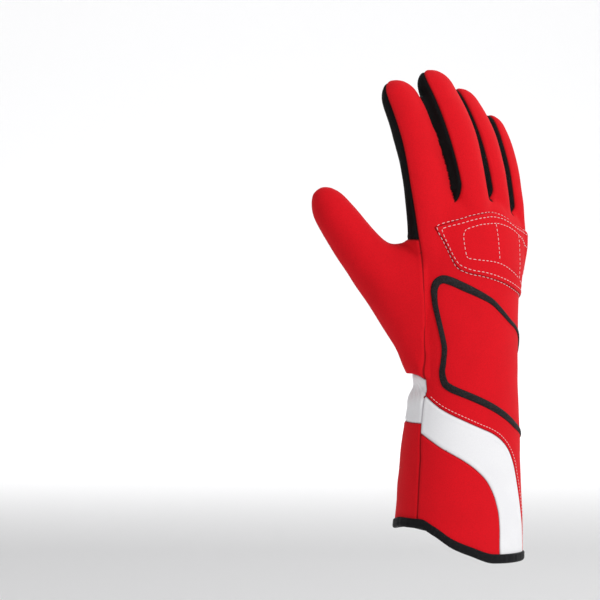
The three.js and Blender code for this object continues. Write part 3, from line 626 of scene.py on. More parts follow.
@dataclass
class Skin:
    """The glove's whole outer surface, its vertices' places on the hand, and its seams.

    Attributes:
        mesh: The surface.
        points: The vertices in millimetres.
        normals: The directions out of the surface at the vertices.
        locked: Whether each vertex lies on a seam.
    """

    mesh: bpy.types.Mesh
    points: Array = field(init=False)
    normals: Array = field(init=False)
    locked: Array = field(init=False)

    def __post_init__(self) -> None:
        """Reads the surface, with no seam on it yet."""
        self.read()
        self.locked = np.zeros(len(self.points), bool)

    def read(self) -> None:
        """Reads the vertices and their normals from the mesh."""
        count = len(self.mesh.vertices)
        flat = np.empty(count * 3, np.float32)
        self.mesh.vertices.foreach_get("co", flat)
        self.points = flat.reshape(-1, 3).astype(float) / METRE
        self.mesh.vertex_normals.foreach_get("vector", flat)
        self.normals = flat.reshape(-1, 3).astype(float)

    def write(self) -> None:
        """Writes the vertices to the mesh."""
        self.mesh.vertices.foreach_set("co", (self.points * METRE).astype(np.float32).ravel())
        self.mesh.update()

    def edges(self) -> Array:
        """The vertex pairs of the mesh's edges.

        Returns:
            The pairs, n by 2.
        """
        flat = np.empty(len(self.mesh.edges) * 2, np.int32)
        self.mesh.edges.foreach_get("vertices", flat)
        return flat.reshape(-1, 2)

    def locate(self) -> None:
        """Works out where each vertex lies on the body, the fingers and the thumb."""
        self.angle, self.reach, self.degree = BODY.locate(self.points)
        self.height = self.points[:, 2] - BODY.web_shift(self.points[:, 0], self.points[:, 2])
        shape = (len(FINGERS), len(self.points))
        self.along, self.turn = np.full(shape, -1.0), np.zeros(shape)
        self.finger_reach, self.finger_degree = np.full(shape, FAR), np.full(shape, 0.2)
        high = np.flatnonzero(self.points[:, 2] > FINGER_ZONE)
        for i, finger in enumerate(FINGERS):
            values = finger.locate(self.points[high])
            for table, value in zip((self.along, self.turn, self.finger_reach, self.finger_degree), values):
                table[i, high] = value
        self.finger = self.finger_reach.argmin(0)
        self.out, self.up, self.face = THUMB.locate(self.points)

    def of_finger(self, table: Array) -> Array:
        """The values at each vertex's own finger, from a table with a row for each finger."""
        return table[self.finger, np.arange(len(self.points))]

    def snap(self, values: Array) -> Array:
        """Moves vertices near the zero line of a field onto it, along the mesh's own edges.

        Args:
            values: The field at the vertices.

        Returns:
            The field afterwards, 0 on the line.
        """
        values = values.copy()
        values[np.abs(values) < NEAR_ZERO] = NEAR_ZERO
        pairs = self.edges()
        crossing = pairs[values[pairs[:, 0]] * values[pairs[:, 1]] < 0]
        first, second = crossing[:, 0], crossing[:, 1]
        use_first = np.abs(values[first]) < np.abs(values[second])
        use_first = np.where(self.locked[first] & ~self.locked[second], False, use_first)
        use_first = np.where(self.locked[second] & ~self.locked[first], True, use_first)
        moving = np.where(use_first, first, second)
        other = np.where(use_first, second, first)
        share = np.abs(values[moving]) / (np.abs(values[moving]) + np.abs(values[other]))
        move = (self.points[other] - self.points[moving]) * share[:, None]
        free = ~self.locked[moving]
        order = np.argsort(-np.linalg.norm(move, axis=1)[free])  # the shortest move is made last, so it stays
        moved, steps = moving[free][order], move[free][order]
        target = self.points.copy()
        target[moved] = self.points[moved] + steps
        self.points = target
        values[moving] = 0.0
        self.locked[moving] = True
        return values


@dataclass(frozen=True)
class Outline:
    """A closed outline in a plane, with its corners rounded.

    Attributes:
        corners: The corners before they are rounded.
        rounds: How many times they are cut off.
    """

    corners: tuple[tuple[float, float], ...]
    rounds: int = 2

    def loop(self) -> Array:
        """The rounded outline.

        Returns:
            Its corners, n by 2.
        """
        loop = np.array(self.corners, float)
        for _ in range(self.rounds):
            after = np.roll(loop, -1, axis=0)
            loop = np.stack([loop * 0.75 + after * 0.25, loop * 0.25 + after * 0.75], 1).reshape(-1, 2)
        return loop

    def inside(self, points: Array) -> Array:
        """Signed distances from the outline, positive inside it.

        Args:
            points: The points, n by 2.

        Returns:
            The distances.
        """
        start = self.loop()
        run = np.roll(start, -1, axis=0) - start
        offset = points[:, None, :] - start[None]
        share = np.clip((offset * run).sum(-1) / (run**2).sum(-1), 0.0, 1.0)
        distance = np.linalg.norm(offset - share[..., None] * run, axis=-1).min(1)
        above = start[None, :, 1] > points[:, None, 1]
        below = (start + run)[None, :, 1] > points[:, None, 1]
        with np.errstate(divide="ignore", invalid="ignore"):
            cross = start[None, :, 0] + (points[:, None, 1] - start[None, :, 1]) * run[None, :, 0] / run[None, :, 1]
        hits = ((above != below) & (points[:, None, 0] < cross)).sum(1)
        return np.where(hits % 2 == 1, distance, -distance)


def line_distance(points: Array, lines: Sequence[Sequence[tuple[float, float]]]) -> Array:
    """The distances from points to the nearest of some open lines in a plane.

    Args:
        points: The points, n by 2.
        lines: The lines.

    Returns:
        The distances.
    """
    nearest = np.full(len(points), FAR)
    for line in lines:
        for start, end in zip(line[:-1], line[1:]):
            start, run = np.array(start, float), np.array(end, float) - np.array(start, float)
            offset = points - start
            share = np.clip(offset @ run / (run @ run), 0.0, 1.0)
            nearest = np.minimum(nearest, np.linalg.norm(offset - share[:, None] * run, axis=1))
    return nearest


Colour = tuple[float, float, float]  # linear red, green and blue
Socket = bpy.types.NodeSocket
# Where the grain's specks and the cloth's large clouds show: from, to, and how strongly
GRAIN_FROM, GRAIN_TO, GRAIN_DETAIL = 0.35, 0.7, 3.0
CLOUD_SIZE, CLOUD = 22.0, (0.4, 0.75, 0.18)
# Distances from a grip's rim between which its light rim and its dark stitched line show
RIM_LIGHT, LINE_INNER, LINE_OUTER = (1.5, 1.15, 0.85), (1.2, 1.45, 1.0), (2.1, 1.75, 0.75)
# How far from a quilting line, and from a seam or a raised piece's edge, the darkening starts and is in full, and its
# strength; the darkening at a seam or an edge is a painted shade
QUILT_LINE, SEAM_SHADE_FADE = (0.65, 0.3, 0.8), (0.9, 0.1, 0.8)
FUZZ_ROUGHNESS, GLOSS, BUMP_STRENGTH = 0.5, 0.15, 0.6


@dataclass(frozen=True)
class Finish:
    """How a material looks.

    Attributes:
        name: The material's name.
        slot: The record's slot that it stands for; not used.
        colour: The main colour.
        shade: The colour of its darker specks.
        roughness: The surface's roughness.
        sheen: How much soft fuzz it has.
        grain: The size of its grain in millimetres.
        bump: The depth of its grain in millimetres.
        mottle: How strongly the darker specks show.
        rim: The colour of a grip's rim.
        seam: On a grip, the colour of its stitched and quilting lines; on the other finishes, a painted shade along the
            panels' seams and along a raised piece's edge.
    """

    name: str
    slot: Slot
    colour: Colour
    shade: Colour
    roughness: float
    sheen: float
    grain: float
    bump: float
    mottle: float = 0.3
    rim: Colour | None = None
    seam: Colour | None = None

    def material(self) -> bpy.types.Material:
        """The material with its procedural nodes.

        Returns:
            The material, made once and found again after that.
        """
        found = bpy.data.materials.get(self.name)
        if found:
            return found
        made = bpy.data.materials.new(self.name)
        made.use_nodes = True
        made.diffuse_color = (*self.colour, 1.0)
        nodes, links = made.node_tree.nodes, made.node_tree.links
        nodes.clear()
        output = nodes.new("ShaderNodeOutputMaterial")
        shader = nodes.new("ShaderNodeBsdfPrincipled")
        links.new(shader.outputs["BSDF"], output.inputs["Surface"])
        shader.inputs["Roughness"].default_value = self.roughness
        shader.inputs["Sheen Weight"].default_value = self.sheen
        shader.inputs["Sheen Roughness"].default_value = FUZZ_ROUGHNESS
        shader.inputs["Specular IOR Level"].default_value = GLOSS
        where = nodes.new("ShaderNodeTexCoord").outputs["Object"]

        def noise(size: float, detail: float) -> Socket:
            """A noise whose spots have a size in millimetres."""
            texture = nodes.new("ShaderNodeTexNoise")
            texture.inputs["Scale"].default_value = 1.0 / (size * METRE)
            texture.inputs["Detail"].default_value = detail
            links.new(where, texture.inputs["Vector"])
            return texture.outputs["Fac"]

        def mix(factor: Socket, first: Colour | Socket, second: Colour) -> Socket:
            """A blend from a colour, or a socket that gives one, to a second colour."""
            blend = nodes.new("ShaderNodeMix")
            blend.data_type = "RGBA"
            links.new(factor, blend.inputs["Factor"])
            if isinstance(first, tuple):
                blend.inputs["A"].default_value = (*first, 1.0)
            else:
                links.new(first, blend.inputs["A"])
            blend.inputs["B"].default_value = (*second, 1.0)
            return blend.outputs["Result"]

        def ranged(value: Socket, low: float, high: float, top: float) -> Socket:
            """A smooth step from 0 where the value is low to a top where it is high."""
            node = nodes.new("ShaderNodeMapRange")
            node.interpolation_type = "SMOOTHSTEP"
            links.new(value, node.inputs["Value"])
            for key, number in (("From Min", low), ("From Max", high), ("To Min", 0.0), ("To Max", top)):
                node.inputs[key].default_value = number
            return node.outputs["Result"]

        def attribute(name: str) -> Socket:
            """A vertex attribute's value."""
            node = nodes.new("ShaderNodeAttribute")
            node.attribute_name = name
            return node.outputs["Fac"]

        grain = noise(self.grain, GRAIN_DETAIL)
        colour = mix(ranged(grain, GRAIN_FROM, GRAIN_TO, self.mottle), self.colour, self.shade)
        colour = mix(ranged(noise(CLOUD_SIZE, 1.0), *CLOUD), colour, self.shade)
        if self.rim:
            edge = attribute("rim")
            light = mix(ranged(edge, *RIM_LIGHT), colour, self.rim)
            line = nodes.new("ShaderNodeMath")
            line.operation = "MULTIPLY"
            links.new(ranged(edge, *LINE_INNER), line.inputs[0])
            links.new(ranged(edge, *LINE_OUTER), line.inputs[1])
            colour = mix(line.outputs[0], light, self.seam or self.shade)
            colour = mix(ranged(attribute("quilt"), *QUILT_LINE), colour, self.seam or self.shade)
        elif self.seam:
            # painted shade: darkens the colour near the panels' seams and near a raised piece's edge
            colour = mix(ranged(attribute("rim"), *SEAM_SHADE_FADE), colour, self.seam)
        links.new(colour, shader.inputs["Base Color"])
        bump = nodes.new("ShaderNodeBump")
        bump.inputs["Strength"].default_value = BUMP_STRENGTH
        bump.inputs["Distance"].default_value = self.bump * METRE
        links.new(grain, bump.inputs["Height"])
        links.new(bump.outputs["Normal"], shader.inputs["Normal"])
        return made


# Its seam colour is a painted shade along the red panels' seams and along the knuckle pad's edge.
RED = Finish(
    "red_cloth", Slot.RED, colour=(0.78, 0.0045, 0.013), shade=(0.56, 0.003, 0.008), roughness=0.85, sheen=0.02,
    grain=0.7, bump=0.12, mottle=0.35, seam=(0.2, 0.001, 0.003),
)
# Its seam colour is a painted shade along the white panels' seams.
WHITE = Finish(
    "white_cloth", Slot.WHITE, colour=(0.95, 0.95, 0.965), shade=(0.82, 0.82, 0.85), roughness=0.8, sheen=0.1,
    grain=0.8, bump=0.12, mottle=0.2, seam=(0.45, 0.43, 0.47),
)
# Its seam colour is a painted shade along the black panels' seams.
BLACK = Finish(
    "palm_knit", Slot.BLACK, colour=(0.0048, 0.0044, 0.005), shade=(0.0022, 0.0022, 0.0022), roughness=0.85,
    sheen=0.0, grain=0.6, bump=0.12, mottle=0.4, seam=(0.001, 0.001, 0.001),
)
GREY = Finish(
    "grip_suede", Slot.GREY, colour=(0.4, 0.38, 0.392), shade=(0.16, 0.152, 0.16), roughness=0.95, sheen=0.05,
    grain=1.0, bump=0.2, mottle=0.65, rim=(0.56, 0.53, 0.55), seam=(0.045, 0.042, 0.046),
)
TRIM = Finish(
    "ribbon_weave", Slot.TRIM, colour=(0.0075, 0.006, 0.0066), shade=(0.045, 0.038, 0.042), roughness=0.6,
    sheen=0.0, grain=0.8, bump=0.3, mottle=0.5,
)
TAPE = Finish(
    "mouth_weave", Slot.TAPE, colour=(0.0065, 0.0065, 0.008), shade=(0.003, 0.003, 0.004), roughness=0.65,
    sheen=0.02, grain=0.9, bump=0.25, mottle=0.5,
)
THREAD = Finish(
    "sewing_thread", Slot.WHITE, colour=(0.9, 0.62, 0.62), shade=(0.7, 0.4, 0.4), roughness=0.6, sheen=0.1,
    grain=0.4, bump=0.05, mottle=0.2,
)


def dress(obj: Object, finish: Finish, nodes: Sequence[str] = ()) -> Object:
    """Gives a piece its finish, parents it to the root and hides the CAD nodes that it stands for.

    Args:
        obj: The piece, in place.
        finish: Its finish.
        nodes: The CAD nodes.

    Returns:
        The piece.
    """
    obj.data.materials.clear()
    obj.data.materials.append(finish.material())
    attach(obj, "root")
    if nodes:
        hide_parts(*nodes)
    LOG.info("%s: %d faces", obj.name, len(obj.data.polygons))
    return obj


def thicken(obj: Object, thickness: float) -> None:
    """Gives a sheet of cloth its thickness, inwards.

    Args:
        obj: The sheet.
        thickness: The thickness in millimetres.
    """
    solid = obj.modifiers.new("cloth", "SOLIDIFY")
    solid.thickness = thickness * METRE
    solid.offset = -1.0
    solid.use_even_offset = False


WAVES_EACH = 3  # waves of each length
WOBBLE, WOBBLE_STRETCH, WAVE_PEAK = 0.8, 2.3, 1.7  # how far and how long a wave bends, and the height of their sum


def waves(points: Array, lengths: Sequence[float], seed: int) -> Array:
    """Soft uneven waves through space, about -1 to 1.

    Args:
        points: The points, n by 3.
        lengths: The waves' lengths in millimetres.
        seed: Picks their directions and phases.

    Returns:
        The waves' values.
    """
    chance = np.random.default_rng(seed)
    total = np.zeros(len(points))
    for length in lengths:
        for _ in range(WAVES_EACH):
            way = chance.normal(size=3)
            way /= np.linalg.norm(way)
            bend = chance.normal(size=3)
            bend /= np.linalg.norm(bend)
            phase, turn = chance.uniform(0, 2 * math.pi, 2)
            wobble = WOBBLE * np.sin(points @ bend * 2 * math.pi / (length * WOBBLE_STRETCH) + turn)
            total += np.sin(points @ way * 2 * math.pi / length + phase + wobble) * length / max(lengths)
    return total / (WAVE_PEAK * len(lengths))


@dataclass(frozen=True)
class Surface:
    """Makes the glove's skin: body, fingers and thumb as one smooth surface of triangles.

    Attributes:
        voxel: The size of its grid in millimetres.
        smoothing: How many times it is smoothed.
    """

    voxel: float
    smoothing: int

    def make(self) -> bpy.types.Mesh:
        """Makes the surface.

        Returns:
            The smooth surface in metres.
        """
        bm = bmesh.new()
        BODY.add_to(bm, around=115, along=115)
        for finger in FINGERS:
            finger.add_to(bm, around=43, along=68)
        THUMB.add_to(bm, around=45, along=60)
        bmesh.ops.recalc_face_normals(bm, faces=bm.faces)
        rough = frame_mesh(bm, "rough_skin")
        remesh = rough.modifiers.new("remesh", "REMESH")
        remesh.mode = "VOXEL"
        remesh.voxel_size = self.voxel * METRE
        smooth = rough.modifiers.new("smooth", "SMOOTH")
        smooth.factor = 0.5
        smooth.iterations = self.smoothing
        fine = rough.modifiers.new("fine", "SUBSURF")
        fine.levels = fine.render_levels = 1
        rough.modifiers.new("triangles", "TRIANGULATE")
        scene_now = bpy.context.evaluated_depsgraph_get()
        mesh = bpy.data.meshes.new_from_object(rough.evaluated_get(scene_now))
        bpy.data.objects.remove(rough)
        return mesh


class Panel(Enum):
    """The cloth panels, in the order in which they take the surface."""

    BAND = "cuff_band"
    CUFF_BACK = "cuff_back"
    HAND_BACK = "hand_back"
    FOURCHETTE_INDEX = "fourchette_index_middle"
    FOURCHETTE_MIDDLE = "fourchette_middle_ring"
    FOURCHETTE_RING = "fourchette_ring_little"
    THUMB = "thumb_panel"
    TONGUE = "cuff_tongue"
    CUFF_FRONT = "cuff_front"
    PALM = "palm"


PANEL_FINISH = {
    Panel.BAND: WHITE,
    Panel.CUFF_BACK: RED,
    Panel.HAND_BACK: RED,
    Panel.THUMB: RED,
    Panel.TONGUE: RED,
    Panel.CUFF_FRONT: WHITE,
}


BACK_CENTRE, FRONT_CENTRE = 20.0, 200.0  # the section angles round which those of the back and the front are counted
LITTLE_CENTRE = 30.0  # the same on the little finger
BACK_LIMIT = -95.0  # the back's last section angle at the thumb's side
HAND_START = GAUNTLET_LENGTH + 1.0  # from here up its seam follows THUMB_LINE
WEB_SIDE, WEB_BELOW, WEB_ABOVE = 88.0, 0.06, 0.09  # the seam's section angle at a web, and the turn's start and end
OUTER_TURN = 40.0  # beyond it lie the outer sides of the index and little fingers
OUTER_BLEND, INNER_BLEND = (172.0, 232.0), (190.0, 209.0)  # heights in which the hand's seams become the fingers'
SIDE_START, SIDE_REACH, SIDE_SPARE = WEB_HEIGHT - 14.0, 1.6, 5.0  # where the fingers' black sides are looked for
SIDE_LOW, SIDE_HIGH, SIDE_RISE, SIDE_FULL = -30.0, 98.0, 27.0, 0.38
ELSEWHERE = -6.0  # a field's value far outside its panel
SEAM_SPARE = 5.0  # how far a panel reaches under the one that takes its edge
BAND_END, CUFF_BACK_END = 58.0, 12.0  # section angles
TONGUE_ENDS, CUFF_FRONT_ENDS = (137.4, 286.0), (99.0, 289.0)
THUMB_INNER, THUMB_OUTER = -0.2, 0.17  # shares of the thumb's reach
INDEX_REACH, INDEX_SIZE = 1.3, 12.0  # how near the index finger the thumb's panel comes
MOUTH_INSET, WALL_TOP, WALL_REACH, WALL_HIGH = 0.4, 40.0, 0.8, 8.0  # the mouth's cut, and what counts as its wall


@dataclass(frozen=True)
class Pattern:
    """The cloth's cutting pattern: a field for each panel, positive inside it, on the skin's vertices.

    Attributes:
        skin: The skin.
    """

    skin: Skin

    def back_limit(self, finger: Finger, along: Array, angle: float, web: float) -> Array:
        """The section angle at which a finger's red back ends, towards its neighbour."""
        start = (web - GAUNTLET_LENGTH - finger.rise * HAND_LENGTH) / finger.length
        return WEB_SIDE + (angle - WEB_SIDE) * smoothstep(along, start - WEB_BELOW, start + WEB_ABOVE)

    def back(self) -> Array:
        """The red back of the hand and fingers.

        Returns:
            The field.
        """
        skin = self.skin
        angle = angle_near(skin.angle, BACK_CENTRE)
        z = skin.points[:, 2]
        outwards = np.minimum(THUMB_LINE.at(z) - skin.points @ np.array(THUMB.out), (angle - BACK_LIMIT) * skin.degree)
        side = np.where(z < HAND_START, (angle - THUMB_SEAM.at(z)) * skin.degree, outwards)
        body = np.minimum(side, (PALM_SEAM.at(z) - angle) * skin.degree)
        finger = np.zeros(len(z))
        last = len(FINGERS) - 1
        for i, shape in enumerate(FINGERS):
            own = skin.finger == i
            along, turn = skin.along[i][own], skin.turn[i][own]
            low = shape.thumb_side if i == 0 else -self.back_limit(shape, along, -shape.thumb_side, WEBS[i - 1])
            high = shape.little_side if i == last else self.back_limit(shape, along, shape.little_side, WEBS[i])
            turn = angle_near(turn, LITTLE_CENTRE if i == last else 0.0)
            finger[own] = np.minimum(turn - low, high - turn) * skin.finger_degree[i][own]
        turn = skin.of_finger(skin.turn)
        outer = ((skin.finger == 0) & (turn < -OUTER_TURN)) | ((skin.finger == last) & (turn > OUTER_TURN))
        share = np.where(outer, smoothstep(skin.height, *OUTER_BLEND), smoothstep(skin.height, *INNER_BLEND))
        return body * (1 - share) + finger * share

    def fourchette(self, index: int) -> Array:
        """The black side of a finger and of its neighbour, from the web up.

        Args:
            index: The finger.

        Returns:
            The field.
        """
        skin = self.skin
        values = np.full(len(skin.points), ELSEWHERE)
        for i, sign in ((index, 1.0), (index + 1, -1.0)):
            own = (skin.finger == i) & (skin.points[:, 2] > SIDE_START) & (skin.finger_reach[i] < SIDE_REACH)
            along, turn = skin.along[i][own], skin.turn[i][own] * sign
            base = (WEBS[index] - SIDE_SPARE - GAUNTLET_LENGTH - FINGERS[i].rise * HAND_LENGTH) / FINGERS[i].length
            top = SIDE_HIGH + SIDE_RISE * smoothstep(along, base, SIDE_FULL)
            sides = np.minimum(turn - SIDE_LOW, top - turn) * skin.finger_degree[i][own]
            values[own] = np.minimum(sides, (along - base) * FINGERS[i].length)
        return values

    def between(self, low: float | Array, high: float, centre: float) -> Array:
        """The part of the body between two section angles."""
        angle = angle_near(self.skin.angle, centre)
        return np.minimum(angle - low, high - angle) * self.skin.degree

    def fields(self) -> list[Callable[[], Array]]:
        """The panels' fields in the order of Panel, without the last, which takes what is left.

        Returns:
            Functions that read the skin as it is when they are called.
        """
        skin = self.skin

        def z() -> Array:
            """The vertices' heights."""
            return skin.points[:, 2]

        def band() -> Array:
            """The white swept band."""
            angle = angle_near(skin.angle, BACK_CENTRE)
            beside = (angle - BAND_SIDE.at(z())) * skin.degree
            above = np.where(z() < BAND_BEND, beside, z() - BAND_BOTTOM.height(angle))
            inside = np.minimum(above, BAND_TOP.height(angle) - z())
            return np.minimum(inside, self.between(THUMB_SEAM.at(z()), BAND_END, BACK_CENTRE))

        def cuff_back() -> Array:
            """The red panel below the band."""
            below = BAND_BOTTOM.height(angle_near(skin.angle, BACK_CENTRE)) + SEAM_SPARE - z()
            return np.minimum(below, self.between(THUMB_SEAM.at(z()), CUFF_BACK_END, BACK_CENTRE))

        def thumb() -> Array:
            """The red back of the thumb and its root."""
            low = z() - PALM_EDGE.height(angle_near(skin.angle, FRONT_CENTRE))
            beside = (skin.finger_reach[0] - INDEX_REACH) * INDEX_SIZE
            web = np.maximum(THUMB_WEB - z(), np.minimum(skin.out - THUMB_OUTER * THUMB_REACH, beside))
            return np.minimum.reduce([THUMB_FOLD - skin.face, low, web, skin.out - THUMB_INNER * THUMB_REACH])

        def tongue() -> Array:
            """The red tongue on the gauntlet's front."""
            angle = angle_near(skin.angle, FRONT_CENTRE)
            inside = np.minimum(z() - TONGUE_BOTTOM.height(angle), TONGUE_TOP.height(angle) - z())
            return np.minimum(inside, self.between(*TONGUE_ENDS, FRONT_CENTRE))

        def cuff_front() -> Array:
            """The white front of the gauntlet."""
            below = PALM_EDGE.height(angle_near(skin.angle, FRONT_CENTRE)) - z()
            return np.minimum(below, self.between(*CUFF_FRONT_ENDS, FRONT_CENTRE))

        sides = [partial(self.fourchette, index) for index in range(len(WEBS))]
        return [band, cuff_back, self.back, *sides, thumb, tongue, cuff_front]

    def mouth(self) -> Array:
        """The cloth above the mouth's edge.

        Returns:
            The field.
        """
        skin = self.skin
        z = skin.points[:, 2]
        wall = np.where(z < WALL_TOP, (skin.reach - WALL_REACH) * WALL_TOP, WALL_HIGH)
        return np.minimum(z - mouth_height(skin.angle) - MOUTH_INSET, wall)


def islands(bm: bmesh.types.BMesh) -> list[list[bmesh.types.BMFace]]:
    """The separate islands of a mesh's faces, the largest first.

    Args:
        bm: The mesh.

    Returns:
        The islands.
    """
    left = set(bm.faces)
    found = []
    while left:
        front = [left.pop()]
        island = list(front)
        while front:
            near = {f for edge in front.pop().edges for f in edge.link_faces} & left
            left -= near
            front.extend(near)
            island.extend(near)
        found.append(island)
    return sorted(found, key=len, reverse=True)


def distance_to(targets: Array, points: Array) -> Array:
    """The distance from each point to the nearest target.

    Args:
        targets: The targets, n by 3.
        points: The points, n by 3.

    Returns:
        The distances.
    """
    tree = KDTree(len(targets))
    for i, target in enumerate(targets):
        tree.insert(target, i)
    tree.balance()
    return np.array([tree.find(p)[2] for p in points])


def hump(at: Array, centre: Array | float, width: float) -> Array:
    """A smooth hump that is 1 at its centre and nearly 0 from twice its width on."""
    return np.exp(-(((at - centre) / width) ** 2))


# The black seam beside the thumb's root on the palm, outwards and upwards in the thumb's plane
THENAR_SEAM = ((1.5, 50.0), (2.8, 42.0), (5.4, 22.8), (10.6, 3.6), (15.2, -12.4), (21.0, -27.0))
THENAR_FACE, THENAR_FACING, THENAR_START = 4.0, 0.1, 112.0  # where it lies: palmward, facing out and above the wrist
LEAP = 6.0  # a field that differs more than this along an edge isn't snapped there
CRUMB_QUICK, CRUMB_FULL, CRUMB_ROUNDS = 80, 300, 3  # the faces of an island that is given away, and how often


@dataclass(frozen=True)
class Folds:
    """The cloth's small forms: pressed seams, soft folds, the wrist's gather and the thumb's root over it.

    Attributes:
        seams: The pressed seam and the ridge beside it: how far off the seam, how wide and how high.
        lengths: The folds' lengths.
        seed: Picks their directions.
        depth: How high they are.
        start: How far off a seam they are in full.
        sides: The section angles in which the gather starts and ends.
        waist_rise: How much higher the gather is at the thumb's side.
        waist_turn: The section angles between which it sinks.
        waist: The width and the depth of its groove.
        pleat_depth: How deep its pleats are.
        pleat_turn: The degrees from pleat to pleat.
        sway: How far the pleats sway, and the height over which they do.
        drift: How far they wander, over which length, and the seed.
        puff: How far below the gather the cloth puffs out, how wide and how high.
        root: How far above the wrist the thumb's root bulges, how wide and how high.
        root_edge: How far from the palm's edge the bulge starts and is in full.
        root_turn: The section angles between which it rises.
    """

    seams: tuple[tuple[float, float, float], ...] = ((0.0, 0.8, -0.5), (2.0, 1.1, 0.12))
    lengths: tuple[float, float] = (38.0, 21.0)
    seed: int = 5
    depth: float = 0.35
    start: float = 3.0
    sides: tuple[tuple[float, float], tuple[float, float]] = ((112.0, 135.0), (272.0, 288.0))
    waist_rise: float = 5.5
    waist_turn: tuple[float, float] = (200.0, 255.0)
    waist: tuple[float, float] = (4.2, 0.8)
    pleat_depth: float = 1.1
    pleat_turn: float = 12.0
    sway: tuple[float, float] = (9.0, 5.3)
    drift: tuple[float, float, int] = (7.0, 26.0, 9)
    puff: tuple[float, float, float] = (8.5, 5.0, 0.5)
    root: tuple[float, float, float] = (12.0, 9.0, 4.2)
    root_edge: tuple[float, float] = (-0.5, 3.0)
    root_turn: tuple[float, float] = (222.0, 250.0)

    def gather(self, skin: Skin) -> Array:
        """The wrist's gather with its pleats and the puff below it.

        Args:
            skin: The skin.

        Returns:
            How far each vertex is lifted.
        """
        z, turn = skin.points[:, 2], skin.angle % 360.0
        waist = GAUNTLET_LENGTH + self.waist_rise * (1 - smoothstep(turn, *self.waist_turn))
        width, depth = self.waist
        below, puff_width, puff_height = self.puff
        drift, length, seed = self.drift
        sway = self.sway[0] * np.sin(z / self.sway[1]) + drift * waves(skin.points, (length,), seed)
        pleat = 0.5 + 0.5 * np.cos(np.radians((turn + sway) / self.pleat_turn * 360.0))
        pressed = hump(z, waist, width) * (depth + self.pleat_depth * pleat)
        puff = hump(z, waist - below, puff_width) * puff_height * (2.0 - pleat)
        return smoothstep(turn, *self.sides[0]) * (1 - smoothstep(turn, *self.sides[1])) * (puff - pressed)

    def thumb_root(self, skin: Skin) -> Array:
        """The bulge of the thumb's root over the gather.

        Args:
            skin: The skin.

        Returns:
            How far each vertex is lifted.
        """
        z, turn = skin.points[:, 2], skin.angle % 360.0
        rise, width, height = self.root
        over = smoothstep(z - PALM_EDGE.height(angle_near(skin.angle, FRONT_CENTRE)), *self.root_edge)
        root = over * hump(z, GAUNTLET_LENGTH + rise, width)
        return height * root * smoothstep(turn, *self.root_turn) * (1 - smoothstep(turn, *self.sides[1]))

    def lift(self, skin: Skin, seam: Array) -> Array:
        """All the forms together.

        Args:
            skin: The skin.
            seam: Each vertex's distance from the nearest seam.

        Returns:
            How far each vertex is lifted.
        """
        lift = self.gather(skin) + self.thumb_root(skin)
        for away, width, height in self.seams:
            lift += height * hump(seam, away, width)
        folds = waves(skin.points, self.lengths, self.seed)
        return lift + self.depth * folds * smoothstep(seam, 0.0, self.start)


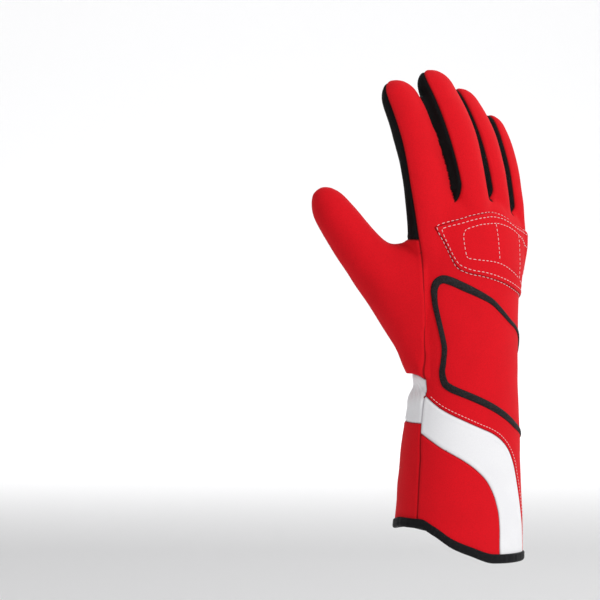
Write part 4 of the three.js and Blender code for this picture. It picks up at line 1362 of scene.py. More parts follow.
class Glove:
    """The whole glove: its skin, cut into panels.

    Attributes:
        skin: The skin.
        faces: Its triangles as vertex triples.
        labels: The rank of each triangle's panel.
        kept: Whether each triangle lies above the mouth's edge.
        seam: Each vertex's distance from the nearest seam.
    """

    def __init__(self) -> None:
        surface = Surface(voxel=1.7, smoothing=9)
        self.skin = Skin(surface.make())
        mesh = self.skin.mesh
        corners = np.empty(len(mesh.loops), np.int32)
        mesh.loops.foreach_get("vertex_index", corners)
        self.faces = corners.reshape(-1, 3)
        self.labels = np.full(len(self.faces), len(Panel) - 1)
        LOG.info("skin: %d triangles", len(self.faces))

    def cut(self) -> None:
        """Cuts the skin into panels along their seams."""
        skin = self.skin
        pattern = Pattern(skin)
        skin.locate()
        values = skin.snap(pattern.mouth())
        self.kept = (values[self.faces] >= 0).all(1)
        taken = np.zeros(len(self.faces), bool)
        for rank, make in enumerate(pattern.fields()):
            values = make()
            pairs = skin.edges()
            jump = np.abs(values[pairs[:, 0]] - values[pairs[:, 1]]) > LEAP
            calm = np.ones(len(values), bool)
            calm[pairs[jump].ravel()] = False
            hidden = np.ones(len(values), bool)
            hidden[self.faces[~taken & self.kept].ravel()] = False
            before = skin.locked.copy()
            skin.locked |= ~calm | hidden
            snapped = skin.snap(values)
            skin.locked = before | (skin.locked & calm & ~hidden & (snapped == 0.0))
            mine = (snapped[self.faces].sum(1) > 0) & ~taken
            self.labels[mine] = rank
            taken |= mine
            skin.locate()
        self.merge_crumbs(CRUMB_FULL)
        skin.write()
        skin.read()

    def merge_crumbs(self, most: int) -> None:
        """Gives a panel's small islands to the panels round them.

        Args:
            most: The largest island that is given away, in faces.
        """
        corners = np.sort(self.faces[:, ((0, 1), (1, 2), (2, 0))].reshape(-1, 2), axis=1).astype(np.int64)
        key = corners[:, 0] * len(self.skin.points) + corners[:, 1]
        order = np.argsort(key, kind="stable")
        shared = key[order][1:] == key[order][:-1]
        first, second = order[:-1][shared] // 3, order[1:][shared] // 3
        for _ in range(CRUMB_ROUNDS):
            alike = self.labels[first] == self.labels[second]
            group, near = np.arange(len(self.faces)), np.stack([first[alike], second[alike]])
            while True:
                low = group[near].min(0)
                lower = group.copy()
                np.minimum.at(lower, group[near[0]], low)
                np.minimum.at(lower, group[near[1]], low)
                lower = lower[lower]
                if (lower == group).all():
                    break
                group = lower
            small = np.bincount(group, minlength=len(group))[group] < most
            votes = np.zeros((len(group), len(Panel)), int)
            for own, other in ((first[~alike], second[~alike]), (second[~alike], first[~alike])):
                np.add.at(votes, (group[own], self.labels[other]), 1)
            given = small & (votes[group].sum(1) > 0)
            self.labels[given] = votes.argmax(1)[group[given]]

    def seam_points(self) -> Array:
        """Points along all the seams.

        Returns:
            The seams' vertices and the middles of their edges, n by 3.
        """
        points = self.skin.points
        low, high = np.full(len(points), len(Panel)), np.full(len(points), -1)
        for corner in range(3):
            np.minimum.at(low, self.faces[self.kept][:, corner], self.labels[self.kept])
            np.maximum.at(high, self.faces[self.kept][:, corner], self.labels[self.kept])
        on_seam = (low != high) & (high >= 0)
        pairs = self.skin.edges()
        both = pairs[on_seam[pairs[:, 0]] & on_seam[pairs[:, 1]]]
        return np.concatenate([points[on_seam], (points[both[:, 0]] + points[both[:, 1]]) / 2])

    def shape(self) -> None:
        """Presses the seams in, gathers the wrist and gives the cloth its soft folds."""
        skin = self.skin
        seam = distance_to(self.seam_points(), skin.points)
        on_thumb = (skin.face > THENAR_FACE) & (skin.normals @ np.array(THUMB.face) > THENAR_FACING)
        on_thumb &= skin.points[:, 2] > THENAR_START
        across = line_distance(np.stack([skin.out, skin.up], -1), (THENAR_SEAM,))
        self.seam = np.where(on_thumb, np.minimum(seam, across), seam)
        skin.points = skin.points + skin.normals * Folds().lift(skin, self.seam)[:, None]
        skin.write()
        skin.read()
        skin.locate()

    def part(self, keep: Array, name: str, values: dict[str, Array], whole: bool = False) -> Object:
        """A copy of some of the skin's faces.

        Args:
            keep: Whether each face is copied.
            name: The object's name.
            values: Fields at the skin's vertices, kept as attributes.
            whole: Whether only the largest island is kept.

        Returns:
            The object.
        """
        bm = bmesh.new()
        bm.from_mesh(self.skin.mesh)
        layers = {key: bm.verts.layers.float.new(key) for key in values}
        used = np.unique(self.faces[keep])
        bm.verts.ensure_lookup_table()
        for key, layer in layers.items():
            column = values[key]
            for index in used:
                bm.verts[index][layer] = column[index]
        bm.faces.ensure_lookup_table()
        bmesh.ops.delete(bm, geom=[bm.faces[i] for i in np.flatnonzero(~keep)], context="FACES")
        if whole:
            crumbs = [face for island in islands(bm)[1:] for face in island]
            bmesh.ops.delete(bm, geom=crumbs, context="FACES")
        bmesh.ops.delete(bm, geom=[v for v in bm.verts if not v.link_faces], context="VERTS")
        for edge in bm.edges:
            edge.smooth = not edge.is_boundary
        for face in bm.faces:
            face.smooth = True
        mesh = bpy.data.meshes.new(name)
        bm.to_mesh(mesh)
        bm.free()
        obj = bpy.data.objects.new(name, mesh)
        bpy.context.scene.collection.objects.link(obj)
        return obj

    def panels(self) -> None:
        """Makes the cloth panels."""
        for rank, panel in enumerate(Panel):
            keep = (self.labels == rank) & self.kept
            obj = self.part(keep, panel.value + "_cloth", {"rim": self.seam})
            thicken(obj, CLOTH)
            dress(obj, PANEL_FINISH.get(panel, BLACK), (panel.value,))


@dataclass(frozen=True)
class Patch:
    """A piece laid and sewn on the cloth.

    Attributes:
        name: The CAD node that it stands for.
        finish: Its finish.
        height: How far it stands off the cloth.
        edge: The width of its rounded rim.
        field_of: Its field on the skin's vertices, positive inside it.
        quilt: The vertices' distances from its quilting lines.
        fill: How firmly it is padded, if it is; not used.
        quilt_depth: How far a quilting line is pressed in.
        quilt_width: How wide it is.
        gap: How far the piece is off the cloth.
        cloth: Its own thickness.
    """

    name: str
    finish: Finish
    height: float
    edge: float
    field_of: Callable[[Skin], Array]
    quilt: Callable[[Skin], Array] | None = None
    fill: float | None = None
    quilt_depth: float = 0.3
    quilt_width: float = 0.7
    gap: float = 0.05
    cloth: float = 0.4

    def lay(self, glove: Glove) -> Object:
        """Makes the piece, with a rounded rim.

        Args:
            glove: The glove that it lies on.

        Returns:
            The piece.
        """
        skin = glove.skin
        kept_points, kept_locked = skin.points.copy(), skin.locked.copy()
        skin.locked[:] = False
        values = skin.snap(self.field_of(skin))
        skin.write()
        keep = values[glove.faces].sum(1) > 0
        quilt = self.quilt(skin) if self.quilt else np.full(len(values), FAR)
        obj = glove.part(keep, self.name + "_piece", {"quilt": quilt, "rim": np.zeros(len(values))}, True)
        skin.points, skin.locked = kept_points, kept_locked
        skin.write()
        bm = bmesh.new()
        bm.from_mesh(obj.data)
        bmesh.ops.subdivide_edges(bm, edges=bm.edges, cuts=1, use_grid_fill=True)
        bm.normal_update()
        border = [v.co / METRE for v in bm.verts if v.is_boundary]
        points = np.array([v.co for v in bm.verts]) / METRE
        rim_layer, quilt_layer = bm.verts.layers.float["rim"], bm.verts.layers.float["quilt"]
        for vert, distance in zip(bm.verts, distance_to(np.array(border), points)):
            share = min(distance / self.edge, 1.0)
            height = self.height * math.sqrt(1 - (1 - share) ** 2)
            height -= self.quilt_depth * math.exp(-((vert[quilt_layer] / self.quilt_width) ** 2))
            vert.co += vert.normal * (height + self.gap) * METRE
            vert[rim_layer] = distance
        bm.to_mesh(obj.data)
        bm.free()
        thicken(obj, self.cloth)
        dress(obj, self.finish, (self.name,))
        return obj


def palm_plane(skin: Skin) -> Array:
    """How far the vertices are across and up, n by 2, as seen from the palm."""
    return skin.points[:, (0, 2)]


def palm_outline(corners: Sequence[tuple[float, float]]) -> Outline:
    """An outline on the palm from shares of half the knuckles' width and levels."""
    return Outline(tuple((a * KNUCKLE_WIDTH / 2, float(level_height(b))) for a, b in corners), 1)


def thumb_outline(corners: Sequence[tuple[float, float]]) -> Outline:
    """An outline in the thumb's plane from shares of its reach and rise."""
    return Outline(tuple((a * THUMB_REACH, b * THUMB_RISE) for a, b in corners), 2)


PALM_PATCH = palm_outline((
    (0.92, 1.94), (0.955, 1.98), (0.93, 2.02), (0.72, 2.02), (0.5, 2.02), (0.2, 2.01), (-0.13, 2.0), (-0.36, 1.985),
    (-0.5, 2.0), (-0.66, 2.0), (-0.72, 1.94), (-0.7, 1.86), (-0.55, 1.813), (-0.32, 1.79), (-0.26, 1.755),
    (-0.28, 1.715), (-0.35, 1.665), (-0.42, 1.61), (-0.45, 1.54), (-0.41, 1.475), (-0.3, 1.425), (-0.13, 1.38),
    (0.07, 1.361), (0.26, 1.363), (0.44, 1.388), (0.6, 1.425), (0.7, 1.483), (0.78, 1.55), (0.84, 1.608),
    (0.86, 1.667), (0.83, 1.717), (0.75, 1.758), (0.63, 1.808), (0.57, 1.842), (0.61, 1.875), (0.73, 1.894),
    (0.85, 1.905),
))
# The palm grip's lobes on the fingers' roots: half width, sideways shift and top height
LOBES = ((5.6, 1.0, 231.0), (6.4, -1.0, 233.5), (5.2, -1.5, 234.5), (4.8, -4.3, 234.5))
LOBE_FOOT, LOBE_ROOT, LOBE_FLARE, LOBE_SPAN = 208.0, 217.0, 2.6, 9.0  # their feet, which widen into the grip
LOBE_TURN, LOBE_ROUND, LOBE_FLAT = 65.0, 0.95, 0.5
THENAR_PATCH = thumb_outline((
    (0.05, 0.48), (0.075, 0.505), (0.13, 0.51), (0.215, 0.482), (0.325, 0.438), (0.42, 0.388), (0.49, 0.33),
    (0.53, 0.254), (0.525, 0.178), (0.48, 0.11), (0.395, 0.034), (0.285, -0.05), (0.23, 0.026), (0.157, 0.136),
    (0.108, 0.262), (0.06, 0.39),
))
THUMB_PATCH = thumb_outline((
    (0.51, 0.6), (0.62, 0.52), (0.73, 0.44), (0.84, 0.58), (0.945, 0.73), (0.97, 0.81), (0.94, 0.9), (0.86, 0.935),
    (0.775, 0.9), (0.65, 0.76),
))
PAD_CORNER = -49.8  # the pad's corner towards the thumb, as a section angle
PAD_END = 98.0  # its far end
PAD_TOP = Edge((
    (PAD_CORNER, 1.858), (-37, 1.882), (-17, 1.915), (2, 1.93), (23, 1.9), (37, 1.861), (60, 1.828), (104, 1.765),
))
PAD_BOTTOM = Edge((
    (PAD_CORNER, 1.858), (-42.6, 1.752), (-34, 1.648), (-28.5, 1.622), (-10, 1.594), (12, 1.557), (36, 1.508),
    (54, 1.482), (104, 1.42),
))
OUTSIDE = -9.0  # a patch's field, well outside it
PALM_FRONT, PALM_LOW, PALM_HIGH, PALM_FACE = -2.0, 130.0, 245.0, 60.0  # where the palm's grip is looked for
THUMB_FRONT, THUMB_FACING, THUMB_LOW, THUMB_HIGH, THUMB_CLEAR = 2.0, 0.05, 120.0, 235.0, 1.1  # and the thumb's grips
# A fingertip grip's first and last share of the finger's length, on each finger
TIPS = ((0.61, 0.91), (0.61, 0.91), (0.61, 0.91), (0.66, 0.92))
TIP_HALF, TIP_CORNER, TIP_ROUND, TIP_LOW, TIP_REACH = 0.29, 0.16, 0.9, 0.45, 1.5  # of the width; where it is looked for


def palm_field(skin: Skin) -> Array:
    """The palm grip's field: its outline on the palm and its lobes on the fingers' roots.

    Args:
        skin: The skin.

    Returns:
        The field.
    """
    values = np.full(len(skin.points), OUTSIDE)
    z = skin.points[:, 2]
    near = (skin.points[:, 1] > PALM_FRONT) & (z > PALM_LOW) & (z < PALM_HIGH) & (skin.face < PALM_FACE)
    near &= skin.normals[:, 1] > 0.0
    values[near] = np.maximum(PALM_PATCH.inside(palm_plane(skin)[near]), OUTSIDE)
    for i, (half, shift, top) in enumerate(LOBES):
        turn = angle_near(skin.turn[i], 180.0) - 180.0
        own = (skin.finger == i) & (np.abs(turn) < LOBE_TURN) & (z > LOBE_FOOT - LOBE_SPAN) & (z < top + LOBE_SPAN)
        around = turn[own] * math.radians(FINGERS[i].width / 2 * LOBE_ROUND)
        sideways = np.maximum(np.abs(around + shift) - LOBE_FLAT, 0.0)
        upwards = np.maximum(z[own] - (top - half), 0.0) + np.maximum(LOBE_FOOT + half - z[own], 0.0)
        flare = LOBE_FLARE * (1 - smoothstep(z[own], LOBE_ROOT, LOBE_ROOT + LOBE_SPAN))
        lobe = half + flare - np.hypot(sideways, upwards) - LOBE_FLAT
        values[own] = np.maximum(values[own], lobe)
    return values


def thumb_field(outline: Outline, skin: Skin) -> Array:
    """A thumb grip's field.

    Args:
        outline: The grip's outline in the thumb's plane.
        skin: The skin.

    Returns:
        The field.
    """
    values = np.full(len(skin.points), OUTSIDE)
    near = (skin.face > THUMB_FRONT) & (skin.normals @ np.array(THUMB.face) > THUMB_FACING)
    near &= (skin.points[:, 2] > THUMB_LOW) & (skin.points[:, 2] < THUMB_HIGH)
    near &= skin.finger_reach.min(0) > THUMB_CLEAR
    values[near] = np.maximum(outline.inside(np.stack([skin.out, skin.up], -1)[near]), OUTSIDE)
    return values


def finger_field(index: int, skin: Skin) -> Array:
    """A fingertip grip's field, a rectangle with round corners.

    Args:
        index: The finger.
        skin: The skin.

    Returns:
        The field.
    """
    finger = FINGERS[index]
    values = np.full(len(skin.points), OUTSIDE)
    own = (skin.finger == index) & (skin.along[index] > TIP_LOW) & (skin.finger_reach[index] < TIP_REACH)
    around = angle_near(skin.turn[index][own], 180.0) - 180.0
    across = around * math.radians(finger.width / 2 * TIP_ROUND)
    up = skin.along[index][own] * finger.length
    half, corner = finger.width * TIP_HALF, finger.width * TIP_CORNER
    low, high = (share * finger.length for share in TIPS[index])
    dx = np.abs(across) - (half - corner)
    dy = np.abs(up - (low + high) / 2) - ((high - low) / 2 - corner)
    outside = np.hypot(np.maximum(dx, 0), np.maximum(dy, 0)) + np.minimum(np.maximum(dx, dy), 0) - corner
    values[own] = np.maximum(-outside, OUTSIDE)
    return values


def pad_field(skin: Skin) -> Array:
    """The knuckle pad's field.

    Args:
        skin: The skin.

    Returns:
        The field.
    """
    angle = angle_near(skin.angle, BACK_CENTRE)
    z = skin.points[:, 2]
    sides = np.minimum(angle - PAD_CORNER, PAD_END - angle) * skin.degree
    values = np.minimum.reduce([z - PAD_BOTTOM.height(angle), PAD_TOP.height(angle) - z, sides])
    return np.maximum(values, OUTSIDE)


PALM_QUILT = (
    ((38, 219.5), (12, 219), (-13, 217), (-35, 212.5)),
    ((13, 218), (-11, 212.5), (-35, 205.5)),
    ((28, 180), (3, 188), (-18, 196.5), (-35, 200.5)),
    ((28, 180), (3, 178), (-16, 175.5), (-32, 172)),
    ((-32, 172), (-8, 160.5), (14, 151.5)),
)


def palm_quilt(skin: Skin) -> Array:
    """Distances to the quilting lines of the palm's grip."""
    return line_distance(palm_plane(skin), PALM_QUILT)


GRIP_HEIGHT, GRIP_EDGE = 1.0, 1.1
PAD_HEIGHT, PAD_EDGE, PAD_FILL = 1.3, 2.2, 0.5
PATCHES = (
    Patch("palm_patch", GREY, GRIP_HEIGHT, GRIP_EDGE, palm_field, palm_quilt),
    Patch("thenar_patch", GREY, GRIP_HEIGHT, GRIP_EDGE, partial(thumb_field, THENAR_PATCH)),
    Patch("thumb_patch", GREY, GRIP_HEIGHT, GRIP_EDGE, partial(thumb_field, THUMB_PATCH)),
    *(
        Patch(finger.name + "_patch", GREY, GRIP_HEIGHT, GRIP_EDGE, partial(finger_field, index))
        for index, finger in enumerate(FINGERS)
    ),
    Patch("knuckle_pad", RED, PAD_HEIGHT, PAD_EDGE, pad_field, fill=PAD_FILL),
)
# The trim's middle line: section angles, levels and shares of its width
TRIM_LINE = (
    (76, 1.14, 0.42), (72, 1.16, 0.42), (54.6, 1.26, 0.45), (40, 1.31, 0.5), (26.4, 1.348, 0.55), (11.8, 1.408, 0.65),
    (0, 1.461, 0.75), (-15, 1.506, 0.9), (-28, 1.541, 1), (-40, 1.572, 1), (-47, 1.582, 1), (-54, 1.564, 0.95),
    (-58, 1.515, 0.8), (-58.5, 1.46, 0.68), (-57, 1.381, 0.64), (-55, 1.301, 0.64), (-53.5, 1.221, 0.66),
    (-55.5, 1.15, 0.68), (-58, 1.09, 0.76), (-55.5, 1.036, 0.88), (-48, 1.008, 0.9), (-37, 0.982, 0.88),
    (-24.3, 0.951, 0.87), (-2.6, 0.887, 0.87), (9.6, 0.845, 0.87), (21, 0.8, 0.83), (33.9, 0.75, 0.75),
    (50, 0.705, 0.64), (68, 0.66, 0.56), (72, 0.65, 0.56),
)
RAY_START, RAY_LENGTH = 12.0, 40.0  # how far off the body a ray starts, and how long it is


class Ground:
    """Finds the glove's surface below a point."""

    def __init__(self, objects: Iterable[Object]) -> None:
        """Reads the objects as they are now."""
        scene_now = bpy.context.evaluated_depsgraph_get()
        self.trees = [BVHTree.FromObject(obj, scene_now) for obj in objects]

    def below(self, point: Array, outwards: Array) -> tuple[Vector, Vector]:
        """The outermost surface along a ray, or the nearest surface where the ray meets none.

        Args:
            point: The point in millimetres.
            outwards: The direction out of the glove.

        Returns:
            The place in millimetres and the surface's normal there.
        """
        way = Vector(outwards).normalized()
        start = Vector(point) * METRE + way * (RAY_START * METRE)
        found = [tree.ray_cast(start, -way, RAY_LENGTH * METRE) for tree in self.trees]
        found = [hit for hit in found if hit[0] is not None]
        if not found:
            found = [tree.find_nearest(Vector(point) * METRE) for tree in self.trees]
        place, normal, _, _ = min(found, key=lambda hit: hit[3])
        return place / METRE, normal


def body_normal(angle: Array | float, z: Array | float) -> Array:
    """The unit directions out of the body at section angles in degrees and heights."""
    way = BODY.points(angle, z, NORMAL_STEP) - BODY.points(angle, z)
    return way / np.linalg.norm(way, axis=-1, keepdims=True)


def graphs_along(points: Array, columns: Iterable[Array]) -> tuple[float, list[Graph]]:
    """Some values as curves over the distance along a line."""
    run = np.concatenate([[0.0], np.linalg.norm(np.diff(points, axis=0), axis=1).cumsum()])
    return float(run[-1]), [Graph(tuple(run), tuple(column)) for column in columns]


@dataclass(frozen=True)
class Trim:
    """The black curved trim on the back of the hand, a flat ribbon with rounded edges.

    Attributes:
        line: Its middle line.
        width: Its full width.
        thickness: How far it stands off the cloth.
        rounding: The roundness of its top and of its underside.
        sunk: How far its underside is sunk in.
        gap: How far its edges are off the cloth.
        step: How far apart the line's direction is read.
    """

    line: tuple[tuple[float, float, float], ...] = TRIM_LINE
    width: float = 5.25
    thickness: float = 0.855
    rounding: tuple[float, float] = (0.55, 0.5)
    sunk: float = 0.35
    gap: float = 0.05
    step: float = 0.5

    def lay(self, ground: Ground) -> Object:
        """Makes the trim.

        Args:
            ground: What it lies on.

        Returns:
            The piece.
        """
        rows = np.array(self.line)
        heights = level_height(rows[:, 1])
        length, graphs = graphs_along(BODY.points(rows[:, 0], heights), (rows[:, 0], heights, rows[:, 2]))

        def spot(at: float) -> Array:
            """The line's point at a distance along it."""
            return BODY.points(float(graphs[0].at(at)), float(graphs[1].at(at)))

        def place(round_share: Array, up_share: Array) -> Array:
            """Points round the ribbon, each set on the ground."""
            points = []
            for turn, share in zip(round_share * 2 * math.pi, up_share):
                at = share * length
                angle, z, wide = (float(graph.at(at)) for graph in graphs)
                out = body_normal(angle, z)
                side = np.cross(out, spot(at + self.step) - spot(at - self.step))
                side /= np.linalg.norm(side)
                across, lift = -math.cos(turn), math.sin(turn)
                foot, _ = ground.below(BODY.points(angle, z) + side * (self.width * wide / 2) * across, out)
                top, under = self.rounding
                rise = self.thickness * lift**top if lift > 0 else -self.sunk * (-lift) ** under
                points.append(np.array(foot) + out * (rise + self.gap))
            return np.array(points)

        ribbon = rolled("trim_ribbon", 16, 420, place, capped=True)
        return dress(ribbon, TRIM, ("trim_loop",))


@dataclass(frozen=True)
class Binding:
    """The tape that is folded over the mouth's edge.

    Attributes:
        outer: How far its outside is off the cloth's outside.
        inner: The same of its inside.
        height: How far up it reaches.
        ripples: Its uneven thickness: how much, how many and their phase.
    """

    outer: float = 1.25
    inner: float = -CLOTH - 1.5
    height: float = 4.4
    ripples: tuple[tuple[float, int, float], ...] = ((0.06, 41, 0.0), (0.05, 67, 1.0))

    def section(self) -> tuple[tuple[float, float], ...]:
        """The tape's closed section: how far off the cloth's outside and how high each corner is."""
        outer, inner, top = self.outer, self.inner, self.height
        corners = (
            (outer * 0.2, top), (outer * 0.75, top - 0.25), (outer, top - 0.9), (outer, top * 0.5), (outer, 0.4),
            (outer * 0.75, -0.9), (0.2, -1.5), (-CLOTH * 0.5, -1.65), (inner * 0.55, -1.5), (inner * 0.9, -0.9),
            (inner, 0.4), (inner, top * 0.5), (inner, top - 0.9), (inner * 0.85, top - 0.25), (-CLOTH * 0.8, top),
            (-CLOTH * 0.5, top * 0.9),
        )
        return corners + corners[:1]

    def lay(self) -> Object:
        """Makes the tape.

        Returns:
            The piece.
        """
        rows = np.array(self.section())
        turns = tuple(i / (len(rows) - 1) for i in range(len(rows)))
        outsets, heights = (Graph(turns, tuple(column)) for column in rows.T)

        def place(round_share: Array, up_share: Array) -> Array:
            """Points round the tape's section, along the mouth's edge."""
            angle = up_share * 360.0 - 180.0
            ripple = 1 + sum(size * np.sin(np.radians(angle) * count + phase) for size, count, phase in self.ripples)
            z = mouth_height(angle) + heights.at(round_share)
            return BODY.points(angle, z, outsets.at(round_share) * ripple)

        return dress(rolled("binding_tape", 48, 300, place, capped=False), TAPE, ("binding",))


@dataclass(frozen=True)
class StitchLine:
    """A row of stitches along a line.

    Attributes:
        rows: The line's section angles and heights.
        pitch: The distance from stitch to stitch.
        girth: Half a stitch's width.
    """

    rows: tuple[tuple[float, float], ...]
    pitch: float = 3.1
    girth: float = 0.26

INNER_PITCH = 2.9
PAD_OUTER = (
    (60, 198.4), (36.7, 202.3), (23.2, 206.8), (13.4, 209.3), (2.4, 210.6), (-7.8, 210), (-17.6, 208.7), (-27.4, 206.8),
    (-37, 205.4), (-45.6, 203.9), (-49.8, 202.6), (-47.4, 196.4), (-42.6, 188.8), (-38, 181.8), (-33.8, 176.2),
    (-28, 173.8), (-19.9, 171.6), (-10, 170.3), (0.4, 168.4), (11.7, 165.8), (22.4, 163.2), (36.1, 160), (54, 156.8),
)
STITCHES = (
    StitchLine(((100, 190.5), (80, 194.5)) + PAD_OUTER + ((80, 151.5), (104, 147.5))),
    StitchLine(
        ((100, 187.8), (80, 191.8), (60, 195.6), (36.7, 199.6), (23.2, 204.0), (13.4, 206.5), (2.4, 207.8),
         (-7.8, 207.2), (-17.6, 205.9), (-27.4, 204), (-36.4, 202.6), (-42.8, 201.4), (-45.4, 200.4), (-43.6, 195.6),
         (-39.4, 188.4), (-35.2, 182), (-31.9, 178.4), (-27, 176.3), (-19.9, 174.4), (-10, 173.1), (0.4, 171.2),
         (11.7, 168.6), (22.4, 166), (36.1, 162.8), (54, 159.6), (80, 154.3), (104, 150.3))
    ),
    StitchLine(
        ((59.9, 187.6), (46.5, 192.7), (36.5, 195.9), (25.9, 199.7), (13.4, 202.6), (5.6, 203.6), (-7.8, 203.2),
         (-17.6, 201.6), (-24.5, 199.7), (-26.8, 195), (-26.3, 189.5), (-24.4, 182.4), (-14.1, 180.8), (-4.2, 179.9),
         (6.4, 178.3), (18, 174.8), (27.6, 171.6), (40.6, 167.1)), INNER_PITCH
    ),
    StitchLine(((5.6, 203.6), (6, 190), (6.4, 178.3)), INNER_PITCH),
    StitchLine(((37, 196), (39, 182), (41, 167)), INNER_PITCH),
    StitchLine(
        ((46.5, 192.7), (59.9, 187.6), (76, 185.5), (90, 184.5), (93, 182), (93, 168), (92, 164), (76, 161.5),
         (60, 162.5), (41, 167)), INNER_PITCH
    ),
    StitchLine(((74, 185.7), (74, 162)), INNER_PITCH),
)
# The band's line: section angles, how far aside the band's edge is read, and how far above it the stitches run
BAND_STITCHES = (
    StitchLine(
        tuple((angle, float(BAND_TOP.height(np.array(angle + shift))) + rise) for angle, shift, rise in (
            (-72, 0, 2.4), (-55, 0, 2.4), (-33, 0, 2.4), (-13, 0, 2.4), (-2, 0, 2.5), (10, -0.6, 2.4), (20, -1.0, 2.3),
            (27, -1.8, 2.0), (34, -2.2, 1.6), (41, -2.8, 0.6), (46, -3.0, 0.3), (54, -3.0, 0.0))),
        2.3, 0.24,
    ),
)
@dataclass(frozen=True)
class Stitching:
    """Rows of stitches that make one piece.

    Attributes:
        name: The piece's name.
        lines: The rows.
        half: Half a stitch's reach, as a share of the pitch.
        end: How far its round ends reach beyond that.
        flat: Its height as a share of its width.
        rise: How far its middle is off the cloth.
    """

    name: str
    lines: tuple[StitchLine, ...]
    half: float = 0.29
    end: float = 0.2
    flat: float = 0.85
    rise: float = 0.12

    def sew(self, ground: Ground) -> Object:
        """Makes the stitches.

        Args:
            ground: What they are sewn on.

        Returns:
            The piece.
        """
        bm = bmesh.new()
        for line in self.lines:
            rows = np.array(line.rows)
            length, (angles, heights) = graphs_along(BODY.points(rows[:, 0], rows[:, 1]), rows.T)
            for i in range(int(length / line.pitch)):
                at = (i + 0.5) * line.pitch
                ends = []
                for place in (at - line.pitch * self.half, at + line.pitch * self.half):
                    angle, z = float(angles.at(place)), float(heights.at(place))
                    ends.append(ground.below(BODY.points(angle, z), body_normal(angle, z)))
                (start, start_normal), (end, end_normal) = ends
                out = ((start_normal + end_normal) / 2).normalized()
                along = (end - start).normalized()
                side = along.cross(out).normalized()
                turn = Matrix((side, along, side.cross(along))).transposed().to_4x4()
                reach = (end - start).length / 2 + self.end
                size = Matrix.Diagonal((line.girth, reach, line.girth * self.flat, 1.0))
                middle = Matrix.Translation((start + end) / 2 + out * self.rise)
                bmesh.ops.create_uvsphere(bm, u_segments=8, v_segments=6, radius=1.0, matrix=middle @ turn @ size)
        return dress(frame_mesh(bm, self.name), THREAD)


def place_aimed(data: bpy.types.ID, place: Vector, way: Vector) -> Object:
    """Puts a light or a camera in the scene.

    Args:
        data: The light or the camera.
        place: Where it stands, in metres.
        way: The direction that it points in.

    Returns:
        Its object.
    """
    obj = bpy.data.objects.new(data.name, data)
    obj.location = place
    obj.rotation_euler = way.to_track_quat("-Z", "Y").to_euler()
    bpy.context.scene.collection.objects.link(obj)
    return obj


@dataclass(frozen=True)
class Light:
    """A square light.

    Attributes:
        name: Its name.
        place: Its place across, ahead and up from what the lights aim at, in metres.
        size: Its side's length in metres.
        power: Its power in watts.
        aim: The point that it shines at, measured like its place.
    """

    name: str
    place: tuple[float, float, float]
    size: float
    power: float
    aim: tuple[float, float, float] = (0.0, 0.0, 0.0)


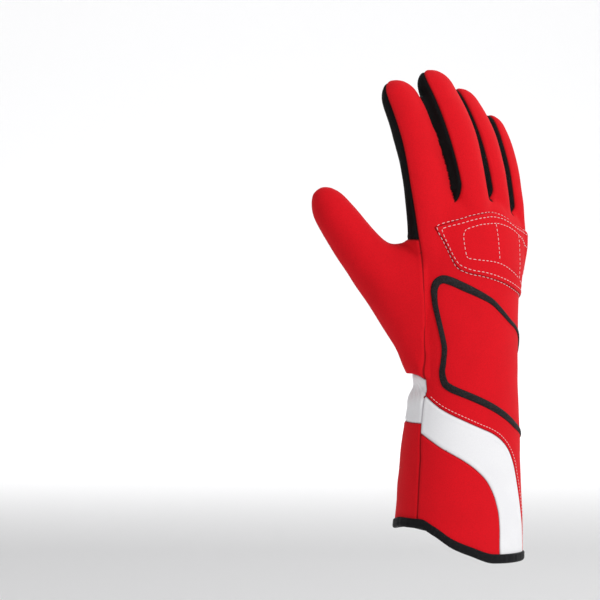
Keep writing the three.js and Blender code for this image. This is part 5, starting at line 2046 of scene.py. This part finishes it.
@dataclass(frozen=True)
class Studio:
    """The pale studio, its lights and the camera.

    Attributes:
        turn: The direction of the view, from +Y towards +X.
        tilt: How far it looks down.
        floor: The floor's reach.
        bend: The radius of the bend between floor and wall.
        wall: The wall's height above the bend.
        drop: How far the floor lies below the mouth.
        shares: The shares of the floor's rows that its flat part and its bend take.
        paper: The floor's colour.
        glow: How much light it gives off.
        sky: How much light comes from all round.
        middle: What the lights aim at, in metres.
        lights: The lights.
        lens: The camera's focal length.
        sensor: Its sensor's width.
        target: What it looks at, in metres.
        distance: How far off that it stands, in metres.
    """

    turn: float = math.radians(38.0)
    tilt: float = math.radians(3.0)
    floor: float = 3200.0
    bend: float = 2200.0
    wall: float = 4000.0
    drop: float = 150.0
    shares: tuple[float, float] = (0.4, 0.4)
    paper: Colour = (0.78, 0.78, 0.785)
    glow: float = 0.105
    sky: float = 0.35
    middle: tuple[float, float, float] = (-0.01, 0.0, 0.16)
    lights: tuple[Light, ...] = (
        Light("key", (1.25, -1.1, 0.9), 0.7, 15.5),
        Light("fill", (-1.2, -1.0, 0.3), 1.2, 0.8),
        Light("top", (0.1, -0.2, 1.6), 0.8, 4.0),
        Light("far", (0.9, 1.0, 0.8), 0.8, 5.0),
        Light("backdrop", (0.0, 2.4, 1.5), 2.6, 55.0, (0.0, 4.8, -0.2)),
    )
    lens: float = 200.0
    sensor: float = 36.0
    target: tuple[float, float, float] = (-0.0837, 0.0654, 0.1543)
    distance: float = 2.133

    def lay_floor(self) -> None:
        """Makes the floor, which bends up into a round wall."""
        flat, bent = self.shares

        def bowl(round_share: Array, up_share: Array) -> Array:
            """Points from the floor's middle to the wall's top."""
            turn = round_share * 2 * math.pi
            bend = np.clip((up_share - flat) / bent, 0.0, 1.0) * math.pi / 2
            out = self.floor * np.minimum(up_share / flat, 1.0) + self.bend * np.sin(bend)
            wall = np.clip((up_share - flat - bent) / (1 - flat - bent), 0.0, 1.0)
            rise = self.bend * (1 - np.cos(bend)) + self.wall * wall
            return np.stack([out * np.cos(turn), out * np.sin(turn), rise - self.drop], -1)

        floor = rolled("floor", 96, 60, bowl, capped=False)
        floor.data.flip_normals()
        paint = bpy.data.materials.new("studio_paper")
        paint.use_nodes = True
        shader = paint.node_tree.nodes["Principled BSDF"]
        shader.inputs["Base Color"].default_value = (*self.paper, 1.0)
        shader.inputs["Roughness"].default_value = 0.9
        shader.inputs["Emission Color"].default_value = (1.0, 1.0, 1.0, 1.0)
        shader.inputs["Emission Strength"].default_value = self.glow
        floor.data.materials.append(paint)

    def set_up(self) -> None:
        """Makes the floor, the lights and the camera."""
        self.lay_floor()
        scene = bpy.context.scene
        scene.world = bpy.data.worlds.new("studio")
        scene.world.use_nodes = True
        back = scene.world.node_tree.nodes["Background"]
        back.inputs["Color"].default_value = (1.0, 1.0, 1.0, 1.0)
        back.inputs["Strength"].default_value = self.sky
        forward = Vector((math.sin(self.turn), math.cos(self.turn), 0.0))
        side = Vector((forward.y, -forward.x, 0.0))

        def spot(across: float, ahead: float, up: float) -> Vector:
            """A point measured from what the lights aim at."""
            return Vector(self.middle) + side * across + forward * ahead + Vector((0, 0, up))

        for light in self.lights:
            data = bpy.data.lights.new(light.name, "AREA")
            data.energy, data.size = light.power, light.size
            place_aimed(data, spot(*light.place), spot(*light.aim) - spot(*light.place))
        camera = bpy.data.cameras.new("camera")
        camera.lens, camera.sensor_width, camera.clip_end = self.lens, self.sensor, 50.0
        look = forward * math.cos(self.tilt) - Vector((0, 0, math.sin(self.tilt)))
        scene.camera = place_aimed(camera, Vector(self.target) - look * self.distance, look)
        scene.view_settings.view_transform = "Standard"


def main() -> None:
    """Builds the scene."""
    logging.basicConfig(level=logging.INFO, format="%(name)s: %(message)s")
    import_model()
    glove = Glove()
    glove.cut()
    LOG.info("cut")
    glove.shape()
    LOG.info("shaped")
    glove.panels()
    laid = {patch.name: patch.lay(glove) for patch in PATCHES}
    bare = glove.part(glove.kept, "bare", {})
    ground = Ground([bare])
    Trim().lay(ground)
    Binding().lay()
    Stitching("pad_stitches", STITCHES).sew(Ground([bare, laid["knuckle_pad"]]))
    Stitching("band_stitches", BAND_STITCHES).sew(ground)
    bpy.data.objects.remove(bare)
    Studio().set_up()


if __name__ == "__main__":
    main()
